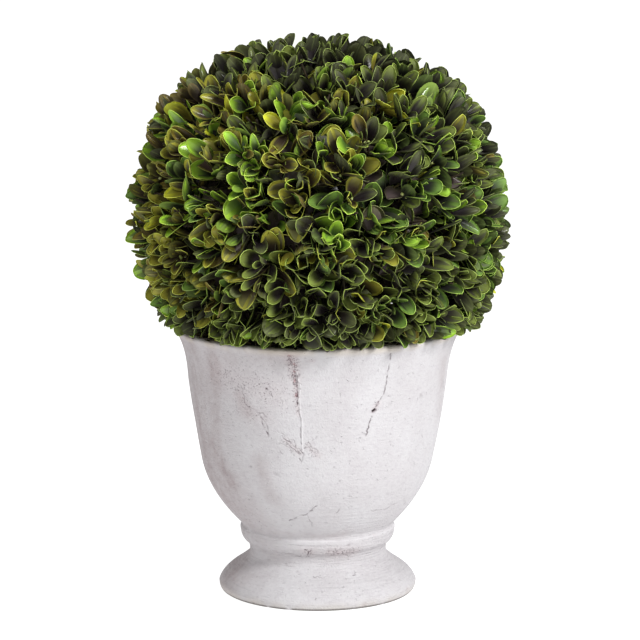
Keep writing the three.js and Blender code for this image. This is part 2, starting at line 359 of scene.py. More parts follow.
# %% Leaves from their measures
def leaf_points(leaves):
    """Points of every leaf, as leaves by points by 3, from its root, its frame and its measures."""
    count = len(leaves["length"])
    measures = ("length", "half", "cup", "curl", "twist", "sharp", "spoon", "wave")
    length, half, cup, curl, twist, sharp, spoon, wave = (leaves[key][:, None, None] for key in measures)
    curl = np.where(np.abs(curl) < LEAST_CURL, LEAST_CURL, curl)

    def surface(rows, oval, spoony, columns, inset, drop, rib):
        """Points at rows by columns. inset narrows it, drop lowers it, and rib moves its middle line."""
        t = rows[None, :, None]
        widths = (1 - spoon) * oval[None, :, None] + spoon * spoony[None, :, None]
        width = half * widths * (1 - POINT_NARROWS * sharp * np.clip((t - POINT_FROM) / POINT_OVER, 0, 1))
        reach = np.maximum(width - inset, LEAST_UPPER * width)
        u = columns[None, None, :]
        turn = curl * t
        along = length * np.sin(turn) / curl
        lift = length * (1 - np.cos(turn)) / curl
        ripple = wave * u * np.abs(u) * np.sin(WAVES_ALONG * t + WAVE_SHIFT * wave)
        hollow = cup * width * u * u - drop + rib * (1 - np.abs(u)) ** RIB_SHARPNESS + ripple
        roll = twist * (t - TWIST_FROM)
        x = reach * u * np.cos(roll) - hollow * np.sin(roll)
        h = reach * u * np.sin(roll) + hollow * np.cos(roll)
        y = along - h * np.sin(turn)
        z = lift + h * np.cos(turn)
        return np.stack(np.broadcast_arrays(x, y, z), axis=-1).reshape(count, -1, 3)

    inset_tip = 1 - LEAF_EDGE / leaves["length"].mean()
    outlines = OVAL_WIDTHS, SPOON_WIDTHS
    tip = np.zeros((3, 1))  # both widths and the column of a single point
    parts = [
        np.zeros((count, 1, 3)),
        surface(LEAF_ROWS * inset_tip, *outlines, UPPER_COLUMNS, LEAF_EDGE, 0.0, -RIB_DEPTH),
        surface(np.array([inset_tip]), *tip, 0.0, 0.0, 0.0),
        surface(LEAF_ROWS, *outlines, LOWER_COLUMNS, 0.0, LEAF_THICKNESS, -RIB_DEPTH),
        surface(np.array([1.0]), *tip, 0.0, LEAF_THICKNESS, 0.0),
    ]
    local = np.concatenate(parts, axis=1)
    axes = np.stack([leaves["side"], leaves["ahead"], leaves["up"]], axis=1)
    return leaves["root"][:, None, :] + np.einsum("npk,nkd->npd", local, axes)


def leaf_marks(count):
    """For each point of each leaf, how far along it is and how far across, for the material."""
    along, across = [[0.0]], [[0.0]]
    for columns in (UPPER_COLUMNS, LOWER_COLUMNS):
        along += [np.repeat(LEAF_ROWS, len(columns)), [1.0]]
        across += [np.tile(columns, ROW_COUNT), [0.0]]
    return {"along": np.tile(np.concatenate(along), count), "across": np.tile(np.concatenate(across), count)}


print("each point of a leaf is marked", " and ".join(leaf_marks(1)))


# %% [markdown]
# ## Where the sprigs stand
#
# The source of the solids grows the ball by a rule, and the same rule is written again here with more and
# finer sprigs. Particles could strew them, but by chance they leave bare places. Here the places are spread
# evenly over the ball by the golden angle, the turn that sunflower seeds keep, and each is moved a little
# at random. A sprig points outwards with a small tilt. Low sprigs turn level, so that their leaves lie out
# over the rim. A gardener's shears leave the furthest leaves near one surface, which on this shrub is a
# ball with slightly square shoulders: each sprig is slid along its own way until its furthest leaf just
# meets its own reach.

# %% Sizes of the ball and its sprigs
BALL_RADIUS = 152.5
BALL_CENTRE = np.array([0.0, 0.0, 293.5])
SHOULDER_BULGE = 8.5
SHOULDER_POLAR = math.radians(48)
SHOULDER_SPREAD = math.radians(19)
CORE_RADIUS = 104.0  # where the leafy sprigs leave the bare twigs
GOLDEN_ANGLE = math.pi * (3 - math.sqrt(5))
BALL_LIMIT = math.radians(123)  # lowest sprigs, from straight up
LEVEL_LIMIT = math.radians(106)  # lowest way that they point
FULL_SIDE = 0.8  # how much less the sprigs fall short of the reach on the right, where the shears took less
CLOSE_SIDE = np.array([-0.7, -0.25, -0.68])  # low on the left, the shears took more
CLOSE_NARROW, CLOSE_MORE = 0.8, 6.5  # how narrow that side is, and how many mm more
SPRIG_LAYERS = [
    # how many, how far short of the ball's reach they stop at random and at least, the least and most
    # angle from straight up, the tilt, and the first turn
    {"count": 480, "short": 2.1, "least": 0.0, "from": 0.0, "to": BALL_LIMIT, "tilt": 21, "start": 0.0},
    {"count": 290, "short": 12.0, "least": 3.0, "from": 0.0, "to": BALL_LIMIT, "tilt": 26, "start": 1.3},
    {"count": 84, "short": 3.0, "least": 0.0, "from": math.radians(120), "to": math.radians(128), "tilt": 8,
     "start": 0.5},
]
TILT_SHARE = 0.7  # part of a tilt by which each of the three numbers of a direction strays
POLAR_JITTER, TURN_JITTER = 0.4, 0.5  # how far sprigs stray from their even places, in half gaps
POLE = 0.3  # the turns near the top are spread as at this angle
VIGOUR, VIGOUR_SPREAD, VIGOUR_RANGE = 1.02, 0.14, (0.74, 1.28)  # sizes of sprigs, in parts of the usual
FIRST_STRETCH = 34.0
random = np.random.default_rng(20)
print("the ball is", 2 * BALL_RADIUS, "mm across, without its shoulders")


# %% Directions on the ball
def reach_at(polar):
    """How far the clipped ball reaches, by the angle from straight up."""
    return BALL_RADIUS + SHOULDER_BULGE * np.exp(-(((polar - SHOULDER_POLAR) / SHOULDER_SPREAD) ** 2))


def beyond_reach(points):
    """How far points stand out of the clipped ball. It is negative inside."""
    offset = points - BALL_CENTRE
    distance = np.linalg.norm(offset, axis=-1)
    return distance - reach_at(np.arccos(offset[..., 2] / np.maximum(distance, 1.0)))


def direction_at(polar, azimuth):
    """Directions by their angle from straight up and their turn from the front."""
    level = np.sin(polar)
    return np.stack([level * np.sin(azimuth), -level * np.cos(azimuth), np.cos(polar)], axis=-1)


def tilted(way, degrees):
    """Each way turned by a random small amount."""
    return unit(way + math.tan(math.radians(degrees)) * random.normal(size=way.shape) * TILT_SHARE)


def any_turn(count):
    """Random angles all the way round."""
    return random.uniform(0, 2 * math.pi, count)


def square_to(way):
    """Two directions square to each way and to each other."""
    helper = np.where(np.abs(way[:, 2:]) < 0.9, [[0.0, 0.0, 1.0]], [[1.0, 0.0, 0.0]])
    first = unit(np.cross(helper, way))
    return first, np.cross(way, first)


def aside_from(way, angle):
    """A direction square to each way, at an angle round it."""
    first, second = square_to(way)
    return np.cos(angle) * first + np.sin(angle) * second


print("at the shoulders it reaches", round(float(reach_at(SHOULDER_POLAR)), 1), "mm from its centre")


# %% Place the sprigs
def place_sprigs(layer):
    """Where the sprigs of a layer stand, which way they point and how far short of the reach they stop."""
    count = layer["count"]
    step = np.arange(count)
    top, bottom = math.cos(layer["from"]), math.cos(layer["to"])
    half_gap = 0.5 * math.sqrt(2 * math.pi * (top - bottom) / count)
    polar = np.arccos(top + (bottom - top) * (step + 0.5) / count)
    polar = polar + random.normal(0, half_gap, count) * POLAR_JITTER
    azimuth = layer["start"] + step * GOLDEN_ANGLE
    azimuth = azimuth + random.normal(0, half_gap, count) * TURN_JITTER / np.sin(np.maximum(polar, POLE))
    way = tilted(direction_at(np.minimum(polar, LEVEL_LIMIT), azimuth), layer["tilt"])
    outward = direction_at(polar, azimuth)
    short = np.abs(random.normal(0, layer["short"], count)) * (1 - FULL_SIDE * outward[:, 0].clip(0, 1))
    short += CLOSE_MORE * ((outward @ unit(CLOSE_SIDE) - CLOSE_NARROW) / (1 - CLOSE_NARROW)).clip(0, 1)
    return {"outward": outward, "way": way, "short": short + layer["least"]}


groups = [place_sprigs(layer) for layer in SPRIG_LAYERS]
sprigs = {key: np.concatenate([g[key] for g in groups]) for key in groups[0]}
SPRIG_COUNT = len(sprigs["short"])
sprigs["turn"] = any_turn(SPRIG_COUNT)
sprigs["vigour"] = random.normal(VIGOUR, VIGOUR_SPREAD, SPRIG_COUNT).clip(*VIGOUR_RANGE)
sprigs["base"] = sprigs["outward"] * CORE_RADIUS
sprigs["stretch"] = np.full(SPRIG_COUNT, FIRST_STRETCH)
print(SPRIG_COUNT, "sprigs stand on the ball")

# %% [markdown]
# ## Leaves along a sprig
#
# Box leaves sit in opposite pairs, each pair a quarter turn from the last. The youngest pair at the tip is
# small and half closed round the bud. Older pairs lean further out and are larger. Seen from the front this
# makes the cups of the picture. One sprig could be modelled and copied, but the eye soon finds a copy. Here
# some leaves have dropped, and every number varies from leaf to leaf, so that no two cups are alike. Deeper
# in, old leaves lie across the branches and close the view through the ball.

# %% The pairs of one sprig, from its tip down
PAIRS = [
    # mm below the tip, degrees of lean, mm of length, hollow, degrees of curl, and how many haven't dropped
    {"foot": 1.0, "lean": 18, "length": 17.5, "cup": 0.38, "curl": 14, "kept": 0.35},
    {"foot": 4.5, "lean": 29, "length": 25.5, "cup": 0.38, "curl": 12, "kept": 0.85},
    {"foot": 11.0, "lean": 38, "length": 30.0, "cup": 0.32, "curl": 6, "kept": 0.9},
    {"foot": 20.0, "lean": 48, "length": 30.5, "cup": 0.26, "curl": 0, "kept": 0.75},
]
LEAF_SWINGS = {"lean": 13, "angle": 20, "roll": 20, "curl": 16, "twist": 10}  # spread in degrees
HALF_WIDTH_SHARE = 0.218  # half of the width, as a part of the length
LENGTH_SPREAD, LENGTH_RANGE = 0.12, (0.7, 1.25)
WIDTH_SPREAD, WIDTH_RANGE = 0.15, (0.66, 1.38)
FOOT_SPREAD = 0.1
CUP_SPREAD, CUP_RANGE = 0.16, (0.0, 0.8)
WAVE_SPREAD = 0.2
print("a full sprig has", 2 * len(PAIRS), "leaves")


# %% Measures and frames of the leaves
def spread_leaves():
    """The measures of every leaf that don't depend on where its sprig ends."""
    tiers = np.repeat(np.arange(len(PAIRS)), 2 * SPRIG_COUNT)
    owner = np.tile(np.arange(SPRIG_COUNT), 2 * len(PAIRS))
    other_side = np.tile(np.repeat([0, 1], SPRIG_COUNT), len(PAIRS))
    stays = random.random(len(owner)) < np.array([pair["kept"] for pair in PAIRS])[tiers]
    tiers, owner, other_side = tiers[stays], owner[stays], other_side[stays]
    keys = ("foot", "lean", "length", "cup", "curl")
    foot, lean, length, cup, curl = (np.array([float(pair[key]) for pair in PAIRS])[tiers] for key in keys)
    count = len(owner)
    swing = {key: random.normal(0, degrees, count) for key, degrees in LEAF_SWINGS.items()}
    vigour = sprigs["vigour"][owner]
    length = length * vigour * random.normal(1, LENGTH_SPREAD, count).clip(*LENGTH_RANGE)
    angle = sprigs["turn"][owner] + tiers * math.pi / 2 + other_side * math.pi
    return {
        "owner": owner,
        "foot": foot * vigour * random.normal(1, FOOT_SPREAD, count),
        "lean": np.radians(lean + swing["lean"]),
        "angle": angle + np.radians(swing["angle"]),
        "roll": np.radians(swing["roll"]),
        "length": length,
        "half": length * HALF_WIDTH_SHARE * random.normal(1, WIDTH_SPREAD, count).clip(*WIDTH_RANGE),
        "cup": (cup + random.normal(0, CUP_SPREAD, count)).clip(*CUP_RANGE),
        "curl": np.radians(curl + swing["curl"]),
        "twist": np.radians(swing["twist"]),
        "sharp": random.beta(1.4, 2.4, count),
        "spoon": random.beta(1.2, 1.2, count),
        "wave": random.normal(0, WAVE_SPREAD, count),
    }


def set_frames(leaves):
    """Roots and frames of the leaves from their sprigs, as they stand now."""
    owner = leaves["owner"]
    way = sprigs["way"][owner]
    outward = aside_from(way, leaves["angle"][:, None])
    lean = leaves["lean"][:, None]
    ahead = np.cos(lean) * way + np.sin(lean) * outward
    up = np.sin(lean) * way - np.cos(lean) * outward
    side = np.cross(ahead, up)
    roll = leaves["roll"][:, None]
    leaves["up"] = np.cos(roll) * up + np.sin(roll) * side
    leaves["side"] = np.cos(roll) * side - np.sin(roll) * up
    leaves["ahead"] = ahead
    tip = BALL_CENTRE + sprigs["base"][owner] + way * sprigs["stretch"][owner][:, None]
    leaves["root"] = tip - way * leaves["foot"][:, None]


# %% Slide each sprig to its reach
SLIDES, SLIDE_SHARE = 4, 0.9  # how often each sprig is slid, and by what part of its error
STRETCH_RANGE = (14.0, 60.0)
BARE = -99.0  # a sprig without leaves counts as this far inside the reach
leaves = spread_leaves()
for _ in range(SLIDES):
    set_frames(leaves)
    furthest = np.full(SPRIG_COUNT, BARE)
    np.maximum.at(furthest, leaves["owner"], beyond_reach(leaf_points(leaves)).max(axis=1))
    sprigs["stretch"] -= (furthest + sprigs["short"]) * SLIDE_SHARE
sprigs["stretch"] = sprigs["stretch"].clip(*STRETCH_RANGE)
print("sprigs are", sprigs["stretch"].min().round(1), "to", sprigs["stretch"].max().round(1), "mm long")

# %% Keep every leaf inside the ball's reach and off the lip
LIP_TOP = 215.2  # just over the urn's lip
LIP_INSIDE = 99.0  # leaves may reach down into the mouth inside this radius
LIP_OUTSIDE = 117.0  # and hang down outside this one
MOUTH_LEVEL = 200.0
OVERHANG_LEVEL = 214.5
LEAF_TRIES = 9
LEAF_SHRINK = 0.94


def leaf_problems(points):
    """Which leaves leave the ball's space or touch the urn's lip."""
    radius = np.hypot(points[..., 0], points[..., 1])
    height = points[..., 2]
    clear = (height > LIP_TOP) | ((radius < LIP_INSIDE) & (height > MOUTH_LEVEL))
    clear |= (radius > LIP_OUTSIDE) & (height > OVERHANG_LEVEL)
    return ((beyond_reach(points) > 0) | ~clear).any(axis=1)


bad = np.zeros(len(leaves["owner"]), bool)
for attempt in range(LEAF_TRIES + 1):
    for key in ("length", "half", "lean"):
        leaves[key] = np.where(bad, leaves[key] * LEAF_SHRINK, leaves[key])
    set_frames(leaves)
    points = leaf_points(leaves)
    bad = leaf_problems(points)
kept = ~bad
print(int(kept.sum()), "leaves kept,", int(bad.sum()), "left out at the rim")


# %% Old leaves inside
OLD_COUNT = 860
OLD_SHARES = (0.0, 0.22, 1.0)  # about a fifth lie deep inside, so that no view goes through the ball
OLD_RADII = (45.0, 100.0, 128.0)
OLD_LIMIT = math.radians(132)
OLD_TILT = 32
OLD_LENGTH, OLD_LENGTH_SPREAD = 26, 2.5
OLD_WIDTH, OLD_WIDTH_SPREAD = 0.36, 0.03  # half of the width, as a part of the length


def old_leaves():
    """Leaves that lie about square to the ball's radius, in the shade of the others."""
    polar = np.arccos(random.uniform(math.cos(OLD_LIMIT), 1, OLD_COUNT))
    outward = direction_at(polar, any_turn(OLD_COUNT))
    up = tilted(outward, OLD_TILT)
    ahead = aside_from(up, any_turn(OLD_COUNT)[:, None])
    length = random.normal(OLD_LENGTH, OLD_LENGTH_SPREAD, OLD_COUNT)
    radius = np.interp(random.random(OLD_COUNT), OLD_SHARES, OLD_RADII)
    root = BALL_CENTRE + outward * radius[:, None] - ahead * length[:, None] / 2
    return {
        "root": root, "ahead": ahead, "up": up, "side": np.cross(ahead, up), "length": length,
        "half": length * random.normal(OLD_WIDTH, OLD_WIDTH_SPREAD, OLD_COUNT),
        "cup": random.uniform(0.05, 0.4, OLD_COUNT),
        "curl": np.radians(random.normal(0, 18, OLD_COUNT)),
        "twist": random.normal(0, 0.2, OLD_COUNT),
        "sharp": random.beta(1, 3, OLD_COUNT),
        "spoon": random.uniform(0, 1, OLD_COUNT),
        "wave": random.normal(0, WAVE_SPREAD, OLD_COUNT),
    }


old = old_leaves()
old_points = leaf_points(old)
old_points = old_points[~leaf_problems(old_points)]
print(len(old_points), "old leaves inside")

# %% [markdown]
# ## Leaf colours
#
# A box shrub isn't one green. Most of its leaves are a deep olive, but young sprigs are a bright green,
# some are lime or yellow, and some have turned bronze. One material could draw a colour for each leaf by
# chance, but on the shrub most leaves keep their sprig's colour, and the colours have their places. So the
# leaves are dealt out to a few paints: more lime, olive and bronze high on the left and more green on the
# right. The darkest paints on top, on the right and low at the rim are painted shade, and the lighter
# greens low on the left are painted light. The leaves of one paint are joined into one piece with plain
# base colours. Within a leaf the foot is painted almost black, as shade in its hollow.

# %% The paints
LEAF_PAINTS = {
    # the colours of tip, foot, back and edge, and how strongly the upper side shines
    # the foot colour is painted shade, the dark foot of the leaf's hollow
    "deep": ((129, 145, 70), (39, 34, 35), (100, 107, 66), (160, 182, 80), 0.25),
    "ink": ((101, 108, 69), (36, 31, 33), (82, 86, 62), (138, 156, 76), 0.25),
    "forest": ((121, 157, 70), (37, 37, 35), (100, 118, 62), (156, 188, 78), 0.3),
    "olive": ((169, 167, 64), (57, 46, 38), (122, 124, 62), (190, 198, 76), 0.25),
    "green": ((155, 199, 58), (44, 51, 35), (122, 148, 60), (182, 212, 80), 0.55),
    "bright": ((172, 220, 66), (66, 92, 40), (142, 178, 62), (200, 228, 96), 0.6),
    "lime": ((214, 218, 58), (118, 112, 42), (180, 186, 60), (222, 228, 90), 0.4),
    "bronze": ((143, 129, 58), (53, 44, 35), (110, 99, 60), (172, 170, 76), 0.25),
}
# The old leaves' paint is kept pale, as painted light that lifts the deep shade between the outer leaves.
OLD_PAINT_WITH_PAINTED_LIGHT = ((104, 99, 74), (78, 68, 66), (106, 104, 74), (128, 134, 78), 0.2)
PAINT_SHARES = {"deep": 0.2, "ink": 0.18, "forest": 0.18, "olive": 0.15, "green": 0.12, "bright": 0.06,
                "lime": 0.06, "bronze": 0.05}
LONE_LEAVES = 0.3  # part of the leaves that don't keep their sprig's colour
COLOUR_LIGHT_AND_SHADE_PLACES = [
    # a direction from the ball's centre, how wide the place is in degrees, and what there is more of
    ((-0.6, -0.6, 0.55), 64, ("lime", "olive"), 8.0),
    ((-0.6, -0.6, 0.4), 64, ("bronze",), 10.0),
    ((-0.35, -0.75, 0.5), 52, ("bright", "green"), 7.0),
    ((0.6, -0.6, -0.3), 40, ("olive", "green", "lime"), 1.8),
    ((0.7, -0.55, 0.45), 40, ("green", "bright"), 1.8),
    # painted light: lighter greens low on the left
    ((-0.8, -0.5, -0.2), 60, ("green", "forest", "olive"), 3.6),
    # painted shade from here on: darker paints low at the front, on top, on the right and low at the rim
    ((0.0, -0.95, -0.3), 45, ("deep", "forest"), 1.4),
    ((0.2, -0.1, 1.0), 56, ("deep", "ink"), 9.5),
    ((0.0, 0.0, 1.0), 56, ("ink",), 2.0),
    ((0.95, -0.3, 0.15), 60, ("deep", "ink", "forest"), 3.4),
    ((0.8, -0.45, -0.6), 36, ("deep", "forest"), 9.0),
    ((0.0, -0.3, -1.0), 84, ("deep", "ink"), 14.0),
]
paint_names = list(LEAF_PAINTS)
print(len(paint_names), "paints for the leaves:", ", ".join(paint_names))


# %% Deal the paints out
def paint_shares(directions):
    """How likely each paint is at each direction, as running sums."""
    shares = np.tile([PAINT_SHARES[name] for name in paint_names], (len(directions), 1))
    for place, width, paints, more in COLOUR_LIGHT_AND_SHADE_PLACES:
        away = np.degrees(np.arccos(np.clip(directions @ unit(np.array(place)), -1, 1)))
        closeness = np.clip(1 - away / width, 0, 1)
        for name in paints:
            shares[:, paint_names.index(name)] *= 1 + more * closeness
    return (shares / shares.sum(axis=1, keepdims=True)).cumsum(axis=1)


def deal(shares):
    """Draws one paint for each row of running sums."""
    return (shares < random.random(len(shares))[:, None]).sum(axis=1).clip(0, len(paint_names) - 1)


on_top = np.diff(paint_shares(np.array([[0.0, 0.0, 1.0]])), prepend=0)[0]
print("on top:", ", ".join(f"{name} {share:.0%}" for name, share in zip(paint_names, on_top)))


# %% The finish of a leaf
UPPER_ROUGHNESS, UPPER_RIB = 0.27, 0.14  # how rough the upper side is, and how pale its rib
BACK_ROUGHNESS, BACK_SHINE, BACK_RIB = 0.55, 0.25, 0.3
EDGE_ROUGHNESS, EDGE_SHINE = 0.5, 0.3
EDGE_PALES = (0.3, 1.0)  # along the leaf, from the back's colour to the edge's own
PAINTED_SHADE_ALONG = (0.44, 1.04)  # painted shade along the leaf, from its dark foot to its light tip
PAINTED_LIGHT_ACROSS, PAINTED_SIDE_LIGHT_AMOUNT = (0.55, 1.05), 0.72  # painted light across it, towards the sides of the hollow, and how far
PAINTED_SHADE_CURVE = 1.5  # over 1 keeps more of the leaf in painted shade
BLOTCH = (0.72, 0.68, 0.64, 1)  # what a blotch multiplies the colour by
RIB_COLOUR = (0.26, 0.34, 0.10, 1)
RIB_WIDTH, RIB_GROOVE = 0.14, -0.25
VEIN_COUNT, VEIN_SLANT, VEIN_HEIGHT = 9.0, 3.2, 0.03


def leaf_finish(name, tip, foot, roughness, shine, rib):
    """A waxy leaf side, with painted shade darkening its foot, a paler middle rib and faint side veins."""
    material, tree, shader = new_material(name, Roughness=roughness, Specular_IOR_Level=shine)
    # Painted light and shade: dark at the foot and middle of the hollow, light at its tip and sides.
    along = mark(tree, "along")
    aside = maths(tree, "ABSOLUTE", mark(tree, "across"))
    painted_side_light = times(tree, between(tree, aside, *PAINTED_LIGHT_ACROSS), PAINTED_SIDE_LIGHT_AMOUNT)
    painted_lightness = maths(tree, "ADD", between(tree, along, *PAINTED_SHADE_ALONG), painted_side_light, clamp=True)
    painted_lightness = maths(tree, "POWER", painted_lightness, PAINTED_SHADE_CURVE)
    colour_with_painted_shade = mixed(tree, painted_lightness, foot, tip)
    darker = mixed(tree, 1.0, colour_with_painted_shade, BLOTCH, "MULTIPLY")
    blotched = effect(tree, MOTTLE, "Color", Light=colour_with_painted_shade, Dark=darker, Scale=70.0, Bias=0.56)
    on_rib = between(tree, aside, RIB_WIDTH, 0.0)
    colour = mixed(tree, times(tree, times(tree, on_rib, rib), painted_lightness), blotched, RIB_COLOUR)
    slant = maths(tree, "SUBTRACT", times(tree, along, VEIN_COUNT), times(tree, aside, VEIN_SLANT))
    veins = times(tree, maths(tree, "SINE", times(tree, slant, 2 * math.pi)), VEIN_HEIGHT)
    skin = effect(tree, GRAIN, "Height", Scale=900.0, Detail=2.0)
    relief = maths(tree, "ADD", maths(tree, "ADD", veins, times(tree, on_rib, RIB_GROOVE)), skin)
    link_finish(tree, shader, colour, relief, 0.0003, 0.3)
    return material


def leaf_materials(name, paints):
    """Materials for the upper side, the back and the edge, in that order."""
    *colours, shine = paints
    # foot is the painted shade at the foot of the hollow
    tip, foot, back, edge = (paint(*colour) for colour in colours)
    edge_material, tree, shader = new_material(
        name + "_edge", Roughness=EDGE_ROUGHNESS, Specular_IOR_Level=EDGE_SHINE
    )
    faded = mixed(tree, between(tree, mark(tree, "along"), *EDGE_PALES), back, edge)
    link_finish(tree, shader, effect(tree, MOTTLE, "Color", Light=faded, Dark=back, Scale=160.0, Bias=0.6))
    return [
        leaf_finish(name + "_upper", tip, foot, UPPER_ROUGHNESS, shine, UPPER_RIB),
        leaf_finish(name + "_back", back, foot, BACK_ROUGHNESS, BACK_SHINE, BACK_RIB),
        edge_material,
    ]


# %% Join the leaves, paint by paint
def leaf_piece(name, leaf_corners, paints):
    """One piece from the points of many leaves."""
    count = len(leaf_corners)
    sides = np.tile(LEAF_SIDES, count)
    piece = mesh_piece(
        name, leaf_corners.reshape(-1, 3), repeated(LEAF_TRIANGLES, count, LEAF_POINTS),
        leaf_materials(name, paints), finish=sides, flat=sides == EDGE, marks=leaf_marks(count),
    )
    fit_out(piece, "foliage", "foliage_ball")


sprig_paint = deal(paint_shares(sprigs["outward"]))
lone = random.random(len(leaves["owner"])) < LONE_LEAVES
lone_paint = deal(paint_shares(sprigs["outward"][leaves["owner"]]))
leaf_paint = np.where(lone, lone_paint, sprig_paint[leaves["owner"]])
for number, name in enumerate(paint_names):
    leaf_piece("leaves_" + name, points[kept & (leaf_paint == number)], LEAF_PAINTS[name])
leaf_piece("leaves_old", old_points, OLD_PAINT_WITH_PAINTED_LIGHT)

# %% [markdown]
# ## Stem, boughs and twigs
#
# Under the leaves the plant is wood. A short stem rises from the soil and goes on inside the ball as a
# leader. Boughs leave it on all sides, branches leave the boughs, and each sprig hangs on the nearest
# branch. They are tubes along bent lines, thinner at every fork. They could be curves with a bevel, but as
# arrays thousands of them become one mesh in one step. Between the leaves, the shears have also left bare
# stubs, which are tubes too.

# %% Tubes along many lines
def ring_faces(rings, sides, closed_foot=False):
    """Triangles from ring to ring, then to one point at the top and, if asked, to one more at the foot."""
    faces = []
    for ring in range(rings - 1):
        for k in range(sides):
            a, b = ring * sides + k, ring * sides + (k + 1) % sides
            faces += [(a, b, b + sides), (a, b + sides, a + sides)]
    top = rings * sides
    faces += [(top - sides + k, top - sides + (k + 1) % sides, top) for k in range(sides)]
    if closed_foot:
        faces += [((k + 1) % sides, k, top + 1) for k in range(sides)]
    return np.array(faces)


def tubes(paths, radii, sides):
    """One tube for each path, closed at its far end, from points and radii at each step of each path."""
    count, steps = radii.shape
    tangent = unit(np.gradient(paths, axis=1))
    reference, _ = square_to(unit(paths[:, -1] - paths[:, 0]))
    first = unit(np.cross(reference[:, None, :], tangent))
    second = np.cross(tangent, first)
    turn = (np.arange(sides) * 2 * math.pi / sides)[None, None, :, None]
    ring = first[:, :, None] * np.cos(turn) + second[:, :, None] * np.sin(turn)
    around = paths[:, :, None] + ring * radii[:, :, None, None]
    points = np.concatenate([around.reshape(count, -1, 3), paths[:, -1:]], axis=1)
    return points.reshape(-1, 3), repeated(ring_faces(steps, sides), count, points.shape[1])


def bent_tubes(start, pull, end, thick, thin, steps, sides):
    """Tubes from start to end, drawn towards pull, whose radius goes from thick to thin."""
    t = np.linspace(0, 1, steps)[None, :, None]
    lines = (1 - t) ** 2 * start[:, None] + 2 * t * (1 - t) * pull[:, None] + t * t * end[:, None]
    return tubes(lines, np.tile(np.linspace(thick, thin, steps), (len(start), 1)), sides)


def joined(*bodies):
    """Several meshes as one."""
    points, triangles, offset = [], [], 0
    for body_points, body_triangles in bodies:
        points.append(body_points)
        triangles.append(body_triangles + offset)
        offset += len(body_points)
    return np.concatenate(points), np.concatenate(triangles)


# %% Boughs, branches and twigs
STEM_TOP = 198.3
LEADER_TOP = 322.0
BOUGH_COUNT = 16
BOUGH_REACH = 62.0
BRANCH_COUNT = 90
BRANCH_REACH = 92.0
LEADER_RADII, LEADER_SIDES = (6.8, 6.2, 4.6, 3.2, 1.8), 10
BOUGH = {"thick": 3.8, "thin": 2.4, "steps": 8, "sides": 8}
BRANCH = {"thick": 2.2, "thin": 1.5, "steps": 7, "sides": 6}
TWIG = {"thick": 1.35, "thin": 0.7, "steps": 7, "sides": 5}
WOOD_TILT = 5
FORK_BELOW, FORK_HEIGHTS = 45, (212, 300)  # a bough leaves the leader lower than it ends
BOUGH_SAG = 9
BRANCH_BEND = 4


def even_directions(count, start):
    """Directions spread over the ball by the golden angle."""
    step = np.arange(count)
    height = 1 + (math.cos(BALL_LIMIT) - 1) * (step + 0.5) / count
    return tilted(direction_at(np.arccos(height), start + step * GOLDEN_ANGLE), WOOD_TILT)


def nearest(ends, starts):
    """For each end, which start is nearest."""
    return np.linalg.norm(ends[:, None] - starts[None], axis=2).argmin(axis=1)


leader_path = [[0, 0, STEM_TOP], [1, -1, 225], [-2, 1, 262], [1, 2, 295], [0, 0, LEADER_TOP]]
leader = tubes(np.array([leader_path], float), np.array([LEADER_RADII]), LEADER_SIDES)
bough_ends = BALL_CENTRE + even_directions(BOUGH_COUNT, 0.4) * BOUGH_REACH
bough_starts = np.zeros((BOUGH_COUNT, 3))
bough_starts[:, 2] = np.clip(bough_ends[:, 2] - FORK_BELOW, *FORK_HEIGHTS)
bough_pulls = (bough_starts + bough_ends) / 2 - [0, 0, BOUGH_SAG]
boughs = bent_tubes(bough_starts, bough_pulls, bough_ends, **BOUGH)
branch_ends = BALL_CENTRE + even_directions(BRANCH_COUNT, 1.1) * BRANCH_REACH
branch_starts = bough_ends[nearest(branch_ends, bough_ends)]
branch_pulls = (branch_starts + branch_ends) / 2 + random.normal(0, BRANCH_BEND, (BRANCH_COUNT, 3))
branches = bent_tubes(branch_starts, branch_pulls, branch_ends, **BRANCH)
sprig_base = BALL_CENTRE + sprigs["base"]
sprig_tip = sprig_base + sprigs["way"] * sprigs["stretch"][:, None]
twig_starts = branch_ends[nearest(sprig_base, branch_ends)]
twigs = bent_tubes(twig_starts, sprig_base, sprig_tip, **TWIG)
print(BOUGH_COUNT, "boughs,", BRANCH_COUNT, "branches,", SPRIG_COUNT, "twigs")

# %% Clipped ends: bare stubs that the shears left between the leaves
CLIPPED_COUNT = 130
CLIPPED = {"thick": 1.1, "thin": 0.75, "steps": 6, "sides": 6}
CLIPPED_LIMIT = BALL_LIMIT * 0.9
CLIPPED_SHORT, CLIPPED_STRAYS = 7.0, (0, 8)  # how far they end below the reach, and how far below that
CLIPPED_TILT, CLIPPED_LENGTHS = 14, (30, 44)
CLIPPED_BEND = 2.5
clipped_polar = np.arccos(random.uniform(math.cos(CLIPPED_LIMIT), 1, CLIPPED_COUNT))
clipped_way = direction_at(clipped_polar, any_turn(CLIPPED_COUNT))
clipped_reach = reach_at(clipped_polar) - CLIPPED_SHORT - random.uniform(*CLIPPED_STRAYS, CLIPPED_COUNT)
clipped_end = BALL_CENTRE + clipped_way * clipped_reach[:, None]
clipped_way = tilted(clipped_way, CLIPPED_TILT)
clipped_start = clipped_end - clipped_way * random.uniform(*CLIPPED_LENGTHS, CLIPPED_COUNT)[:, None]
clipped_pull = (clipped_start + clipped_end) / 2 + random.normal(0, CLIPPED_BEND, (CLIPPED_COUNT, 3))
clipped = bent_tubes(clipped_start, clipped_pull, clipped_end, **CLIPPED)
print(CLIPPED_COUNT, "clipped ends, the furthest", clipped_reach.max().round(1), "mm out")


